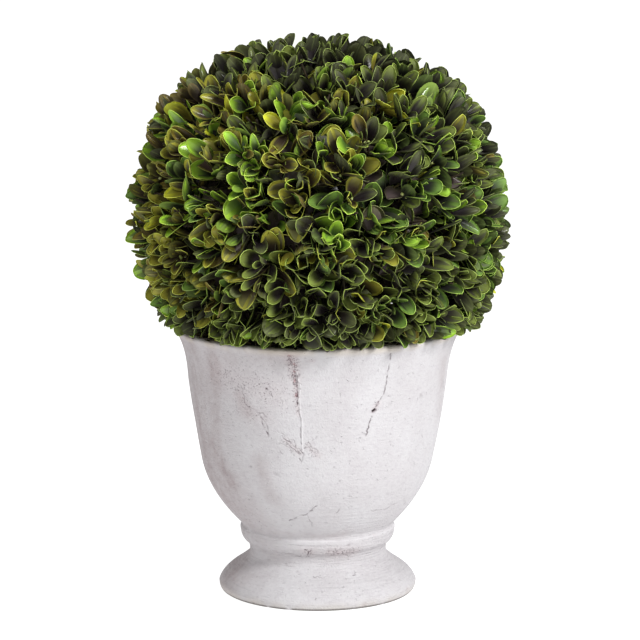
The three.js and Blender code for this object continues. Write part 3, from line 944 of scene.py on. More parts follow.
# %% Bark
def bark_finish(name, light, dark, scale):
    """Dull bark with streaks and furrows along the stem."""
    material, tree, shader = new_material(name, Roughness=0.85, Specular_IOR_Level=0.2)
    light, dark = paint(*light), paint(*dark)
    colour = effect(tree, MOTTLE, "Color", Light=light, Dark=dark, Scale=scale, Stretch=(1, 1, 0.3))
    furrows = effect(tree, GRAIN, "Height", Scale=scale * 4, Stretch=(1, 1, 0.25))
    link_finish(tree, shader, colour, furrows, 0.0006)
    return material


bark = bark_finish("box_bark", (124, 104, 76), (66, 50, 36), 260.0)
young_bark = bark_finish("young_bark", (84, 78, 42), (44, 34, 26), 420.0)
dead_bark = bark_finish("clipped_bark", (70, 60, 44), (30, 24, 20), 420.0)
fit_out(mesh_piece("boughs", *joined(leader, boughs, branches), [bark]), "bark", "foliage_ball")
fit_out(mesh_piece("twigs", *twigs, [young_bark]), "bark", "foliage_ball")
fit_out(mesh_piece("clipped_ends", *clipped, [dead_bark]), "bark", "foliage_ball")

# %% [markdown]
# ## Buds
#
# About one sprig in three flowers. Its buds sit in the angles between the leaves and the twig, like pale
# green beads of 2 mm, and catch the light inside the dark cups. They could be spheres strewn as particles,
# but as rings of points, like the twigs, they are one mesh and each stands on its own twig.

# %% Buds
BUDDING_SHARE = 0.34
BUDS_PER_SPRIG = 4
BUD_RADIUS = 1.15
BUD_RINGS = [(0.0, 0.62), (0.45, 1.0), (1.0, 0.95), (1.5, 0.55)]  # height and width, as parts of the radius
BUD_TIP = 1.75
BUD_SIDES = 6
BUDS_KEPT = 0.75
BUD_LEAN = 0.7
BUD_DEPTHS, BUD_OFFSETS = (0.5, 6.5), (0.9, 2.2)  # how far below the twig's tip, and beside it
BUD_SPREAD, BUD_RANGE = 0.18, (0.6, 1.4)


def bud_bodies(roots, ways, sizes):
    """Small egg-shaped bodies that stand on their roots."""
    first, second = square_to(ways)
    turn = (np.arange(BUD_SIDES) * 2 * math.pi / BUD_SIDES)[None, :, None]
    around = np.cos(turn) * first[:, None] + np.sin(turn) * second[:, None]
    rings = [roots[:, None] + sizes[:, None, None] * (ways[:, None] * height + around * width)
             for height, width in BUD_RINGS]
    tip = roots[:, None] + ways[:, None] * BUD_TIP * sizes[:, None, None]
    points = np.concatenate(rings + [tip, roots[:, None]], axis=1)
    faces = ring_faces(len(BUD_RINGS), BUD_SIDES, closed_foot=True)
    return points.reshape(-1, 3), repeated(faces, len(roots), points.shape[1])


budding = np.flatnonzero(random.random(SPRIG_COUNT) < BUDDING_SHARE)
bud_owner = np.repeat(budding, BUDS_PER_SPRIG)
bud_owner = bud_owner[random.random(len(bud_owner)) < BUDS_KEPT]
bud_twig = sprigs["way"][bud_owner]
bud_aside = aside_from(bud_twig, any_turn(len(bud_owner))[:, None])
bud_depth = random.uniform(*BUD_DEPTHS, len(bud_owner))[:, None]
bud_off = random.uniform(*BUD_OFFSETS, len(bud_owner))[:, None]
bud_roots = sprig_tip[bud_owner] - bud_twig * bud_depth + bud_aside * bud_off
bud_sizes = BUD_RADIUS * random.normal(1, BUD_SPREAD, len(bud_owner)).clip(*BUD_RANGE)
buds = bud_bodies(bud_roots, unit(bud_twig + bud_aside * BUD_LEAN), bud_sizes)
bud_skin, tree, shader = new_material("bud_skin", Roughness=0.35, Specular_IOR_Level=0.5)
skin_colours = {"Light": paint(206, 210, 140), "Dark": paint(150, 168, 78)}
link_finish(tree, shader, effect(tree, MOTTLE, "Color", Scale=300.0, **skin_colours))
fit_out(mesh_piece("buds", *buds, [bud_skin]), "foliage", "foliage_ball")

# %% [markdown]
# ## The urn
#
# The urn is turned from one section, the same one as the solid's, with finer steps. It was made by hand, so
# its wall is out of true by about a quarter of a millimetre. Whitewash covers the clay, and where it has
# cracked or flaked the pink clay shows. A plain bump pattern would put such marks anywhere, but these have
# their own places, so they are drawn as lines on the wall: the mesh is made finer near each line, sunk or
# raised there, and marked for the material.

# %% The urn's section
FOOT_EDGE, LIP_CREST = (76.0, 0.0), (108.5, 214.6)  # radius and height
OUTER_CURVES = [
    # step between rows, what pulls the curve, and its end, where the next one begins
    (1.0, (78.5, 0.5), (79, 6)),
    (1.2, (77, 12), (69.5, 17.5)),
    (1.2, (61, 23), (55.5, 28.5)),
    (1.0, (53.5, 34), (56.5, 39)),
    (0.9, (61.5, 42.5), (61.7, 48)),
    (0.7, (62.7, 51.8), (61.2, 52.7)),
    (0.5, (60.7, 53.6), (61.5, 55.6)),
    (1.8, (76.6, 70.3), (89.5, 89.5), (92.5, 110)),
    (2.2, (96.5, 130), (102.5, 172)),
    (1.7, (104.5, 196.5), (112, 209.5)),
    (0.9, (115.8, 214.4), LIP_CREST),
]
INNER_CURVES = [
    (1.0, (103, 214.6), (101, 207)),
    (3.0, (94, 194), (91, 172)),
    (8.0, (85, 130), (81, 112)),
    (8.0, (77, 90), (66, 69), (44, 66)),
]
URN_FLOOR = 64.0
UNDERSIDE_RING = 40.0  # one more ring of points in the flat underside
URN_COLUMNS = 216


def curve_points(step, *controls):
    """Points along a curve, about one step apart, without its first."""
    corners = np.array(controls, float)
    length = np.linalg.norm(np.diff(corners, axis=0), axis=1).sum()
    t = np.linspace(0, 1, max(2, math.ceil(length / step)) + 1)[1:, None]
    rows = [corners[k][None] for k in range(len(corners))]
    while len(rows) > 1:
        rows = [(1 - t) * a + t * b for a, b in zip(rows, rows[1:])]
    return rows[0]


def section_from(start, curves):
    """Points along curves that go on from one another."""
    points = []
    for step, *controls in curves:
        points.append(curve_points(step, start, *controls))
        start = controls[-1]
    return np.concatenate(points)


def turned(section, columns):
    """A closed section, from axis to axis, turned about the axis, as points, end triangles and quads."""
    turn = np.arange(columns) * 2 * math.pi / columns
    around = np.stack([np.sin(turn), -np.cos(turn)], axis=1)
    rings = section[1:-1]
    level = np.broadcast_to(rings[:, None, 1:], (len(rings), columns, 1))
    wall = np.concatenate([rings[:, None, :1] * around[None], level], axis=2).reshape(-1, 3)
    points = np.concatenate([wall, [[0, 0, section[0][1]], [0, 0, section[-1][1]]]])
    foot, top = len(wall), len(wall) + 1
    last = len(wall) - columns
    triangles, quads = [], []
    for k in range(columns):
        after = (k + 1) % columns
        triangles += [(foot, after, k), (top, last + k, last + after)]
    for low in range(0, last, columns):
        for k in range(columns):
            after = (k + 1) % columns
            quads.append((low + k, low + after, low + columns + after, low + columns + k))
    return points, triangles, quads


outer_section = np.concatenate([[FOOT_EDGE], section_from(FOOT_EDGE, OUTER_CURVES)])
inner_section = section_from(LIP_CREST, INNER_CURVES)
underside = [[0.0, 0.0], [UNDERSIDE_RING, 0.0]]
urn_section = np.concatenate([underside, outer_section, inner_section, [[0.0, URN_FLOOR]]])
print("the urn's section has", len(urn_section), "points")

# %% Cracks, as corners of degrees from the front and height
CRACKS = [
    # name, half width, depth (negative stands out), darkness, wander, and the corners
    ("seam", 0.4, 0.3, 0.6, 0.05,
     [(-9.4, 196), (-8.8, 186), (-8.4, 176), (-8.2, 164), (-7.5, 150), (-7.2, 138)]),
    ("seam_ridge", 0.42, -0.45, 0.0, 0.03, [(-8.6, 196), (-7.8, 176), (-7.4, 164), (-6.8, 150), (-6.7, 132)]),
    ("seam_end", 0.4, 0.4, 0.7, 0.1, [(-7.4, 132), (-6.4, 128), (-7.4, 123), (-8.4, 126)]),
    ("branch_left", 0.3, 0.42, 0.72, 0.16,
     [(-15.6, 143), (-13.2, 139.5), (-11.1, 136.9), (-9.2, 133), (-7.7, 130)]),
    ("branch_left_low", 0.26, 0.3, 0.58, 0.16, [(-14.9, 139), (-12.2, 135.5), (-9.6, 131), (-8.0, 128.5)]),
    ("branch_left_top", 0.25, 0.25, 0.44, 0.16,
     [(-16.4, 146), (-14.4, 144.6), (-12.4, 141), (-10.0, 138.5), (-8.0, 134)]),
    ("branch_left_hair", 0.24, 0.2, 0.4, 0.16,
     [(-20.5, 139.5), (-17.5, 138.0), (-15.2, 137.0), (-12.6, 134.0)]),
    ("branch_right", 0.26, 0.3, 0.5, 0.16,
     [(-5.4, 139), (-3.2, 138), (-1.6, 134.5), (0.4, 131.5), (1.2, 127)]),
    ("branch_right_low", 0.24, 0.25, 0.42, 0.16, [(-5.6, 134.5), (-3.6, 135.5), (-1.2, 130.5), (-0.4, 126)]),
    ("scratch_left", 0.6, 0.5, 1.0, 0.08, [(-23.9, 149.5), (-23.2, 146), (-22.4, 142.8)]),
    ("scratch_left_high", 0.42, 0.35, 0.85, 0.08, [(-25.4, 158), (-25.2, 153), (-24.4, 149)]),
    ("scratch_left_arc", 0.3, 0.25, 0.6, 0.08, [(-25.4, 158), (-23.6, 154), (-22.6, 149), (-22.4, 144)]),
    ("scratch_small", 0.45, 0.4, 0.75, 0.08, [(-17.4, 133), (-16.3, 129)]),
    ("hair_left", 0.3, 0.2, 0.55, 0.12,
     [(-35.5, 183), (-33.2, 172), (-31.4, 165), (-27.5, 161.5), (-22, 158)]),
    ("right_crack_top", 0.4, 0.5, 0.9, 0.06, [(30.0, 209), (30.3, 206), (30.6, 203)]),
    ("right_crack", 0.36, 0.5, 0.95, 0.08,
     [(30.5, 200), (30.3, 192), (30.5, 185), (30.2, 180), (28.4, 172), (25.8, 163.8)]),
    ("right_crack_low", 0.4, 0.5, 0.95, 0.1, [(24.4, 158), (23.4, 152), (22.6, 147), (22.3, 143)]),
    # its darkness over 1 paints the hole near-black inside, as painted shade
    ("right_hole", 1.1, 1.6, 1.5, 0.0, [(25.0, 162.4), (25.8, 163.2)]),
    ("left_pit", 0.8, 1.0, 0.9, 0.0, [(-22.3, 180.7), (-22.2, 180.9)]),
    ("bowl_low_pit", 0.8, 0.4, 0.6, 0.0, [(-3.9, 81.2), (-2.8, 82.2)]),
    ("bowl_low", 0.42, 0.4, 0.66, 0.1,
     [(-0.4, 86), (-3.2, 81.5), (-5.8, 78.7), (-10.8, 76.5), (-16.8, 71.6)]),
    ("bowl_low_fork", 0.32, 0.35, 0.55, 0.1, [(-5.8, 78.7), (-4.6, 73), (-3.4, 67.1)]),
    ("bowl_low_scratch", 0.45, 0.35, 0.5, 0.1, [(10.6, 79), (12.2, 84)]),
    ("bowl_low_right", 0.33, 0.25, 0.55, 0.1, [(31.4, 78.3), (39, 77.6), (44, 79.4), (48.4, 80.4)]),
    ("waist_fork", 0.5, 0.5, 0.75, 0.14, [(-9.4, 45.2), (-7.1, 43.3), (-4.8, 45.0)]),
    ("waist_fork_low", 0.5, 0.5, 0.75, 0.14, [(-7.1, 43.3), (-6.9, 38.5)]),
    ("waist_line_left", 0.3, 0.3, 0.5, 0.14, [(-36, 41.5), (-29, 39.8), (-22, 40.8), (-13, 39.4)]),
    ("waist_line_right", 0.3, 0.3, 0.5, 0.14, [(6, 41.6), (13, 39.9), (20, 41.2), (29, 39.8)]),
    ("foot_line", 0.3, 0.25, 0.45, 0.12, [(-3, 23.4), (3, 22.8), (11, 23.2)]),
    ("foot_line_right", 0.4, 0.3, 0.6, 0.1, [(26.5, 22.8), (29, 23.2)]),
    ("back_crack", 0.45, 0.6, 0.9, 0.1, [(168, 212), (171, 196), (166, 178), (170, 156), (176, 140)]),
    ("back_fork", 0.4, 0.4, 0.7, 0.12, [(170, 156), (163, 146), (160, 137)]),
    ("side_crack", 0.4, 0.5, 0.8, 0.1, [(101, 150), (97, 138), (99, 122), (93, 108), (95, 97)]),
    ("side_scratch", 0.5, 0.4, 0.6, 0.1, [(-104, 176), (-100, 168), (-101, 160)]),
    ("back_low", 0.4, 0.4, 0.7, 0.1, [(-152, 84), (-146, 77), (-139, 72)]),
]
print(len(CRACKS), "cracks and pits are named")

# %% Flecks, worn places, stains and chips
FLECK_PLACES = [
    # how many short strokes, how far they lie from a line in mm, their length and darkness, and its corners
    (48, 3.4, 2.2, 0.8, [(-10.6, 207), (-9.6, 196), (-9.0, 188)]),
    (26, 1.9, 2.2, 0.85, [(-9.4, 194), (-9.0, 186), (-8.7, 178)]),
    (12, 1.2, 2.2, 0.8, [(-8.7, 178), (-8.2, 162)]),
    (24, 2.4, 2.2, 0.66, [(-15.2, 142), (-8.2, 129.5)]),
    (18, 2.4, 2.0, 0.5, [(-5.0, 138), (1.0, 128)]),
    (8, 0.9, 1.6, 0.9, [(25.6, 164), (27.2, 170)]),
    (7, 0.6, 1.4, 0.8, [(24.6, 160), (22.4, 142)]),
    (130, 8.0, 0.7, 0.4, [(-46, 189), (-34, 186), (-26, 183), (-17, 178)]),
    (30, 9.0, 1.2, 0.35, [(-42, 172), (-34, 164)]),
    (22, 5.0, 1.2, 0.42, [(-36, 178), (-30, 164), (-24, 158)]),
    (40, 2.8, 3.2, 0.46, [(9, 43), (20, 41.5), (31, 41)]),
    (12, 1.8, 2.0, 0.6, [(-10, 44), (-4, 43)]),
    (20, 8.0, 1.0, 0.35, [(4, 176), (10, 158), (6, 140)]),
    (14, 9.0, 1.0, 0.32, [(6, 120), (14, 104)]),
    (18, 7.0, 1.4, 0.5, [(-60, 80), (-30, 66)]),
    (20, 4.0, 1.4, 0.45, [(-66, 46), (-30, 40)]),
    (30, 9.0, 1.4, 0.5, [(150, 190), (170, 160)]),
    (30, 9.0, 1.4, 0.5, [(-120, 170), (-132, 130)]),
    (24, 8.0, 1.4, 0.5, [(84, 160), (98, 120)]),
]
WORN_PLACES = [
    # where the whitewash is thin and pink clay shows in specks: half width, strength, corners
    (4.6, 0.85, [(-10.4, 208), (-9.6, 198), (-9.2, 190)]),
    (2.8, 1.0, [(-9.4, 194), (-9.0, 184), (-8.9, 176)]),
    (2.2, 0.7, [(-8.9, 176), (-8.3, 162)]),
    (3.0, 0.6, [(-14, 140), (-8.0, 131)]),
    (3.0, 0.5, [(-4, 136), (0.5, 129)]),
    (2.6, 0.85, [(25.4, 163.5), (27.2, 168)]),
    (4.5, 0.55, [(10, 43), (22, 41.5), (31, 41)]),
    (3.6, 0.55, [(-10, 44), (-5, 43.5)]),
    (1.7, 0.9, [(-2.6, 205.2), (-2.0, 205.2)]),
    (15.0, 0.5, [(-44, 188), (-30, 183), (-18, 178)]),
    (9.0, 0.42, [(-37, 174), (-33, 163), (-24, 158)]),
    (5.0, 0.5, [(168, 206), (169, 180)]),
    (4.0, 0.5, [(98, 140), (96, 118)]),
    (9.0, 0.4, [(140, 184), (120, 178)]),
    (6.0, 0.45, [(-124, 46), (-100, 43)]),
]
STAIN_AND_SHADE_PLACES = [
    # pink and grey stains in the wash, and painted shade where noted below
    (13.0, 1.0, [(-50, 200), (-55, 160), (-56, 120), (-48, 100)]),
    # partly a mauve stain, partly painted shade on the left, away from the lamp
    (46.0, 1.0, [(-72, 208), (-74, 160), (-74, 110), (-70, 80)]),
    (7.0, 0.6, [(-35.3, 172), (-33, 160)]),
    (9.0, 0.5, [(-30, 120), (-24, 90)]),
    (9.0, 0.4, [(-60, 42), (-40, 36), (-20, 40), (0, 42), (24, 41)]),
    # partly a stain, partly painted shade on the left of the foot
    (26.0, 0.9, [(-100, 22), (-70, 18)]),
    (6.0, 0.5, [(-80, 60), (-50, 58), (-20, 58), (20, 58)]),
    # painted shade of the ball on the lip's front, just under the leaves
    (12.0, 0.6, [(-46, 206), (-30, 209), (-12, 209)]),
    (16.0, 0.7, [(-120, 190), (-126, 130)]),
    (14.0, 0.6, [(150, 170), (162, 110)]),
    (9.0, 0.4, [(70, 190), (74, 150)]),
]
CHIPS = [
    # degrees from the front, height, half width and depth: on the foot, on the collar and on the lip
    (-79, 6.5, 3.4, 1.3), (-40, 3.2, 2.6, 0.7), (28, 3.0, 3.2, 0.8), (66, 6.0, 2.8, 0.9),
    (150, 5.0, 4.0, 1.2), (-62, 51.5, 2.4, 0.9), (-28, 52.2, 1.8, 0.5), (47, 52.0, 2.2, 0.7),
    (118, 51.8, 3.0, 1.0), (-140, 52, 2.6, 0.8), (63, 212.5, 3.2, 0.8), (-58, 213.2, 2.8, 0.7),
    (12, 213, 2.0, 0.45), (-170, 213, 3.6, 0.9), (112, 213, 2.6, 0.6),
]
PITS = 170
PIT_HEIGHTS = (30, 208)
print("places:", len(FLECK_PLACES), "with flecks,", len(WORN_PLACES), "worn,", len(STAIN_AND_SHADE_PLACES), "stained_and_shaded")

# %% Lines and strokes on the wall
DEGREE = 0.57  # degrees to a millimetre, 100 mm from the axis
LINE_STEP, LINE_CORNERS = 1.3, 60  # a line gets corners until its steps are this short, or it has so many
FLECK_DEPTH, FLECK_WANDER, FLECK_LEAN = 0.25, 0.12, 0.8


def on_wall(corners):
    """Points on the urn's outer wall from degrees and heights."""
    degrees, height = np.array(corners, float).T
    radius = np.interp(height, outer_section[:, 1], outer_section[:, 0])
    turn = np.radians(degrees)
    return np.stack([radius * np.sin(turn), -radius * np.cos(turn), height], axis=1)


def jagged(corners, wander):
    """A line with more corners, each moved aside a little, as a crack runs."""
    line = np.array(corners, float)
    while True:
        step = np.linalg.norm(np.diff(on_wall(line), axis=0), axis=1)[:, None]
        if len(line) >= LINE_CORNERS or step.max() <= LINE_STEP:
            return on_wall(line)
        middle = (line[1:] + line[:-1]) / 2
        middle = middle + random.normal(0, wander, middle.shape) * step * [DEGREE, 1.0]
        woven = np.empty((len(line) + len(middle), 2))
        woven[0::2], woven[1::2] = line, middle
        line = woven


def distance_to(points, line):
    """Distance of each point to a line of many corners."""
    best = np.full(len(points), np.inf)
    for a, b in zip(line[:-1], line[1:]):
        along = b - a
        t = np.clip((points - a) @ along / max(along @ along, 1e-9), 0, 1)
        best = np.minimum(best, ((points - a - t[:, None] * along) ** 2).sum(axis=1))
    return np.sqrt(best)


def near(points, line, span):
    """Which points may lie within a span of a line."""
    low, high = line.min(axis=0) - span, line.max(axis=0) + span
    return np.flatnonzero(((points > low) & (points < high)).all(axis=1))


def flecks(count, aside, length, dark, corners):
    """Short strokes scattered about a line, mostly upright."""
    line = np.array(corners, float)
    place = random.uniform(0, len(line) - 1, count)
    low = np.floor(place).astype(int)
    spot = line[low] + (line[low + 1] - line[low]) * (place - low)[:, None]
    spot = spot + random.normal(0, aside, (count, 2)) * [DEGREE, 1]
    lean = random.normal(0, FLECK_LEAN, count)
    half_length = length * random.uniform(0.3, 1.0, count) / 2
    half_stroke = half_length[:, None] * np.stack([DEGREE * np.sin(lean), np.cos(lean)], axis=1)
    return [
        ("fleck", random.uniform(0.2, 0.36), FLECK_DEPTH, dark * random.uniform(0.5, 1.1), FLECK_WANDER, ends)
        for ends in zip(spot - half_stroke, spot + half_stroke)
    ]


strokes = CRACKS + [stroke for places in FLECK_PLACES for stroke in flecks(*places)]
crack_lines = [
    (name, half, depth, dark, jagged(corners, wander)) for name, half, depth, dark, wander, corners in strokes
]
pit_spots = on_wall(np.stack([random.uniform(-180, 180, PITS), random.uniform(*PIT_HEIGHTS, PITS)], axis=1))
pit_sizes = random.gamma(2.0, 0.16, PITS) + 0.25
print(len(crack_lines), "cracks and flecks, with", sum(len(line[4]) for line in crack_lines), "corners")


# %% A finer mesh near the marks
REFINEMENTS = ((2.5, 2), (0.7, 1))  # how far from the marks, and how many cuts across each edge


def refine(body, margin, cuts):
    """Cuts the faces near the marks into smaller ones."""
    faces = list(body.faces)
    centres = np.array([face.calc_center_median() for face in faces])
    hit = np.zeros(len(faces), bool)
    for name, half, depth, dark, line in crack_lines:
        close = near(centres, line, half + margin)
        hit[close[distance_to(centres[close], line) < half + margin]] = True
    edges = list({edge for face, cut in zip(faces, hit) if cut for edge in face.edges})
    bmesh.ops.subdivide_edges(body, edges=edges, cuts=cuts, use_grid_fill=True)
    bmesh.ops.triangulate(body, faces=[face for face in body.faces if len(face.verts) > 4])


urn_points, caps, quads = turned(urn_section, URN_COLUMNS)
body = bmesh.new()
corners = [body.verts.new(point) for point in urn_points]
for face in caps + quads:
    body.faces.new([corners[k] for k in face])
for refinement in REFINEMENTS:
    refine(body, *refinement)
bmesh.ops.triangulate(body, faces=body.faces)
body.normal_update()
body.verts.index_update()
wall = np.array([vertex.co for vertex in body.verts])
normals = np.array([vertex.normal for vertex in body.verts])
urn_triangles = np.array([[vertex.index for vertex in face.verts] for face in body.faces])
body.free()
print("the urn has", len(urn_triangles), "triangles")

# %% A wall out of true
OUT_OF_TRUE = ((2, 210, 0.4, 0.30), (3, 150, 2.1, 0.22), (5, 90, 4.0, 0.14), (7, 60, 1.2, 0.10))
OUTSIDE_MARGIN = 0.6  # points this near to the outer section belong to the outside
TRUE_BELOW, TRUEST = 20, 0.15  # the foot's edge is truer, as the urn stands on it
turn = np.arctan2(wall[:, 0], -wall[:, 1])
radius, height = np.hypot(wall[:, 0], wall[:, 1]), wall[:, 2]
on_outside = radius > np.interp(height, outer_section[:, 1], outer_section[:, 0]) - OUTSIDE_MARGIN
rise = np.zeros(len(wall))
for cycles, pitch, phase, amount in OUT_OF_TRUE:
    rise += amount * np.sin(cycles * turn + phase + height / pitch * 2 * math.pi)
rise *= np.clip(height / TRUE_BELOW, TRUEST, 1)
print("the wall is out of true by", rise.std().round(2), "mm on average")

# %% Sink, raise and mark the wall
COLLAR_HIGHLIGHT_LEVEL, COLLAR_HIGHLIGHT_WIDTH = 52.1, 0.7  # a painted highlight along the collar's top edge, where it catches the light
CHIP_SQUASH, CHIP_ROUNDNESS, CHIP_WORN = [1, 1, 1.4], 0.7, 0.55
PIT_DEPTH, PIT_DARKNESS = 0.4, 0.35
CRACK_SPAN, PLACE_SPAN, SPOT_SPAN = 3, 2.2, 2  # how many half widths from its line a mark still tells
BREAK_SCALE, BREAK_FROM, BREAK_SHARPNESS, BREAK_RANGE = 0.3, 0.24, 3.2, (0.12, 1.15)  # of a crack
UNDERSIDE = 0.05  # points up to this height stay in the flat underside
crack, ridge_and_highlight, worn, stain_and_shade = (np.zeros(len(wall)) for _ in range(4))


def broken(points, scale, seed):
    """A slow noise from 0 to 1, which breaks a line into longer and shorter stretches."""
    places = (Vector(point) * scale + Vector((seed, 0, 0)) for point in points)
    return np.array([noise.noise(place) for place in places]) * 0.5 + 0.5


def bell(distance, width):
    """A share that falls from 1 with the distance."""
    return np.exp(-((distance / width) ** 2))


def outside_near(line, span):
    """Which points of the outside may lie within a span of a line."""
    close = near(wall, line, span)
    return close[on_outside[close]]


def raise_to(marked, close, share):
    """Marks points, where a stronger mark wins over a weaker one."""
    marked[close] = np.maximum(marked[close], share)


for number, (name, half, depth, dark, line) in enumerate(crack_lines):
    close = outside_near(line, half * CRACK_SPAN)
    share = bell(distance_to(wall[close], line), half)
    if not ("hole" in name or "pit" in name or depth < 0):
        breaks = broken(wall[close], BREAK_SCALE, 9.0 * number) - BREAK_FROM
        share = share * np.clip(breaks * BREAK_SHARPNESS, *BREAK_RANGE)
    rise[close] -= depth * share
    if depth < 0:
        raise_to(ridge_and_highlight, close, share)
    else:
        raise_to(crack, close, share * dark)
for marked, places in ((worn, WORN_PLACES), (stain_and_shade, STAIN_AND_SHADE_PLACES)):
    for half, strength, corners in places:
        close = outside_near(on_wall(corners), half * PLACE_SPAN)
        raise_to(marked, close, bell(distance_to(wall[close], on_wall(corners)), half) * strength)
# A painted highlight along the collar's top edge, in the same mark as the seam's ridge.
collar_highlight = bell(height - COLLAR_HIGHLIGHT_LEVEL, COLLAR_HIGHLIGHT_WIDTH) * on_outside
ridge_and_highlight = np.maximum(ridge_and_highlight, collar_highlight * (0.35 + 0.5 * broken(wall, 0.12, 3.0)))
for degrees, level, half, depth in CHIPS:
    spot = on_wall([(degrees, level)])
    close = near(wall, spot, half * SPOT_SPAN)
    away = np.linalg.norm((wall[close] - spot[0]) * CHIP_SQUASH, axis=1)
    share = np.clip(1 - (away / half) ** 2, 0, 1) ** CHIP_ROUNDNESS
    share *= 0.6 + 0.8 * broken(wall[close], 0.5, degrees)
    rise[close] -= depth * share
    raise_to(worn, close, np.clip(share, 0, 1) * CHIP_WORN)
for spot, size in zip(pit_spots, pit_sizes):
    close = near(wall, spot[None], size * SPOT_SPAN)
    share = bell(np.linalg.norm(wall[close] - spot, axis=1), size)
    rise[close] -= size * PIT_DEPTH * share
    raise_to(crack, close, share * PIT_DARKNESS)
rise[height < UNDERSIDE] = 0.0
wall = wall + normals * rise[:, None]
wall[:, 2] = wall[:, 2].clip(0.0, None)
print("deepest mark:", -rise.min().round(1), "mm; marked points:", int((crack > 0.1).sum()))

# %% [markdown]
# ## Whitewash
#
# The wash is matt, lilac-white, and never even. From large to small its finish has slow clouds, stains that
# run down, lines of the trowel round the waist, specks of bare clay where the wall is marked as worn, and
# dark cracks. The lip and the foot's edge are a little yellower, as hands and wet ground leave them. Some
# marks are painted light and shade: two broad stains on the left are partly painted shade, a band on the
# lip under the leaves is painted shade, the pale top edge of the collar is a painted highlight, the deep
# hole is painted near-black inside as shade, and a thin dark line at the very bottom is a painted contact
# shadow. It could be one picture wrapped round the urn, but layers of nodes stay sharp close by and can be
# changed one at a time. Each layer reads the marks of the mesh or the object's own space, so it stays in
# its place from every side.

# %% Paints and heights of the whitewash
WASH_LIGHT, WASH_DARK = (198, 196, 198), (192, 189, 191)
STAIN_AND_SHADE_COLOUR, AGED, CONTACT_SHADOW_COLOUR = (153, 139, 139), (190, 178, 158), (70, 64, 58)
THIN_WASH, BARE_CLAY, SPECK = (186, 156, 156), (160, 116, 118), (104, 88, 94)
PALE_RIDGE_AND_HIGHLIGHT, CRACK, HOLE_SHADE_COLOUR = (222, 220, 222), (72, 54, 60), (26, 18, 20)
LIP_AGES, FOOT_AGES = (0.2065, 0.2125), (0.009, 0.002)  # heights in metres, from unaged to aged
# heights in metres of a painted contact shadow, a thin dark line at the very bottom
CONTACT_SHADOW_HEIGHTS = (0.0028, 0.001)
BRUSHED_BELOW = (0.098, 0.05)  # where the lines of the trowel set in
print("the lip turns yellower over", round((LIP_AGES[1] - LIP_AGES[0]) / MM), "mm of height")


# %% Whitewash
def wash_layers(tree, level, runs, marks):
    """The colour, from the clouds in the wash up to its cracks, and the masks of specks and bare spots."""
    worn_mark = marks["worn"]
    smudge = effect(tree, MOTTLE, "Mask", Scale=210.0, Bias=0.5)
    # real stains and painted shade, from the stained places
    stained_and_shaded = times(tree, marks["stain_and_shade"], times(tree, runs, 0.34, 0.42))
    stained_and_shaded = times(tree, stained_and_shaded, times(tree, smudge, 0.3, 0.7))
    at_lip, at_foot = (between(tree, level, *ages) for ages in (LIP_AGES, FOOT_AGES))
    aged = maths(tree, "MAXIMUM", at_lip, times(tree, at_foot, 0.5))
    specks = effect(tree, SPECKLE, "Mask", Scale=800.0, Threshold=times(tree, worn_mark, -0.24, 0.735))
    low_clay = times(tree, worn_mark, -0.36, 0.86)
    bare = effect(tree, SPECKLE, "Mask", Scale=300.0, Threshold=low_clay, Softness=0.09)
    # a painted contact shadow along the very bottom, broken by the runs
    painted_contact_shadow = times(tree, between(tree, level, *CONTACT_SHADOW_HEIGHTS), between(tree, runs, 0.0, 0.4))
    colour = effect(tree, MOTTLE, "Color", Light=paint(*WASH_LIGHT), Dark=paint(*WASH_DARK), Scale=30.0,
                    Stretch=(1, 1, 0.6))
    colour = mixed(tree, stained_and_shaded, colour, paint(*STAIN_AND_SHADE_COLOUR))
    grain = effect(tree, MOTTLE, "Color", Light=(1, 1, 1, 1), Dark=(0.94, 0.93, 0.94, 1), Scale=420.0,
                   Stretch=(0.6, 0.6, 1), Bias=0.56)
    colour = mixed(tree, 1.0, colour, grain, "MULTIPLY")
    for share, layer in (
        (times(tree, aged, times(tree, runs, 0.4, 0.1)), AGED),
        (times(tree, worn_mark, 0.22), THIN_WASH),
        (times(tree, bare, 0.55), BARE_CLAY),
        (times(tree, specks, 0.55), SPECK),
        # the seam's ridge paler, and a painted highlight on the collar's edge
        (times(tree, marks["ridge_and_highlight"], 0.6), PALE_RIDGE_AND_HIGHLIGHT),
        (maths(tree, "MULTIPLY", marks["crack"], 0.85, clamp=True), CRACK),
        # painted shade, near-black inside the deep hole
        (between(tree, marks["crack"], 1.0, 1.3), HOLE_SHADE_COLOUR),
        (times(tree, painted_contact_shadow, 0.75), CONTACT_SHADOW_COLOUR),
    ):
        colour = mixed(tree, share, colour, paint(*layer))
    return colour, specks, bare


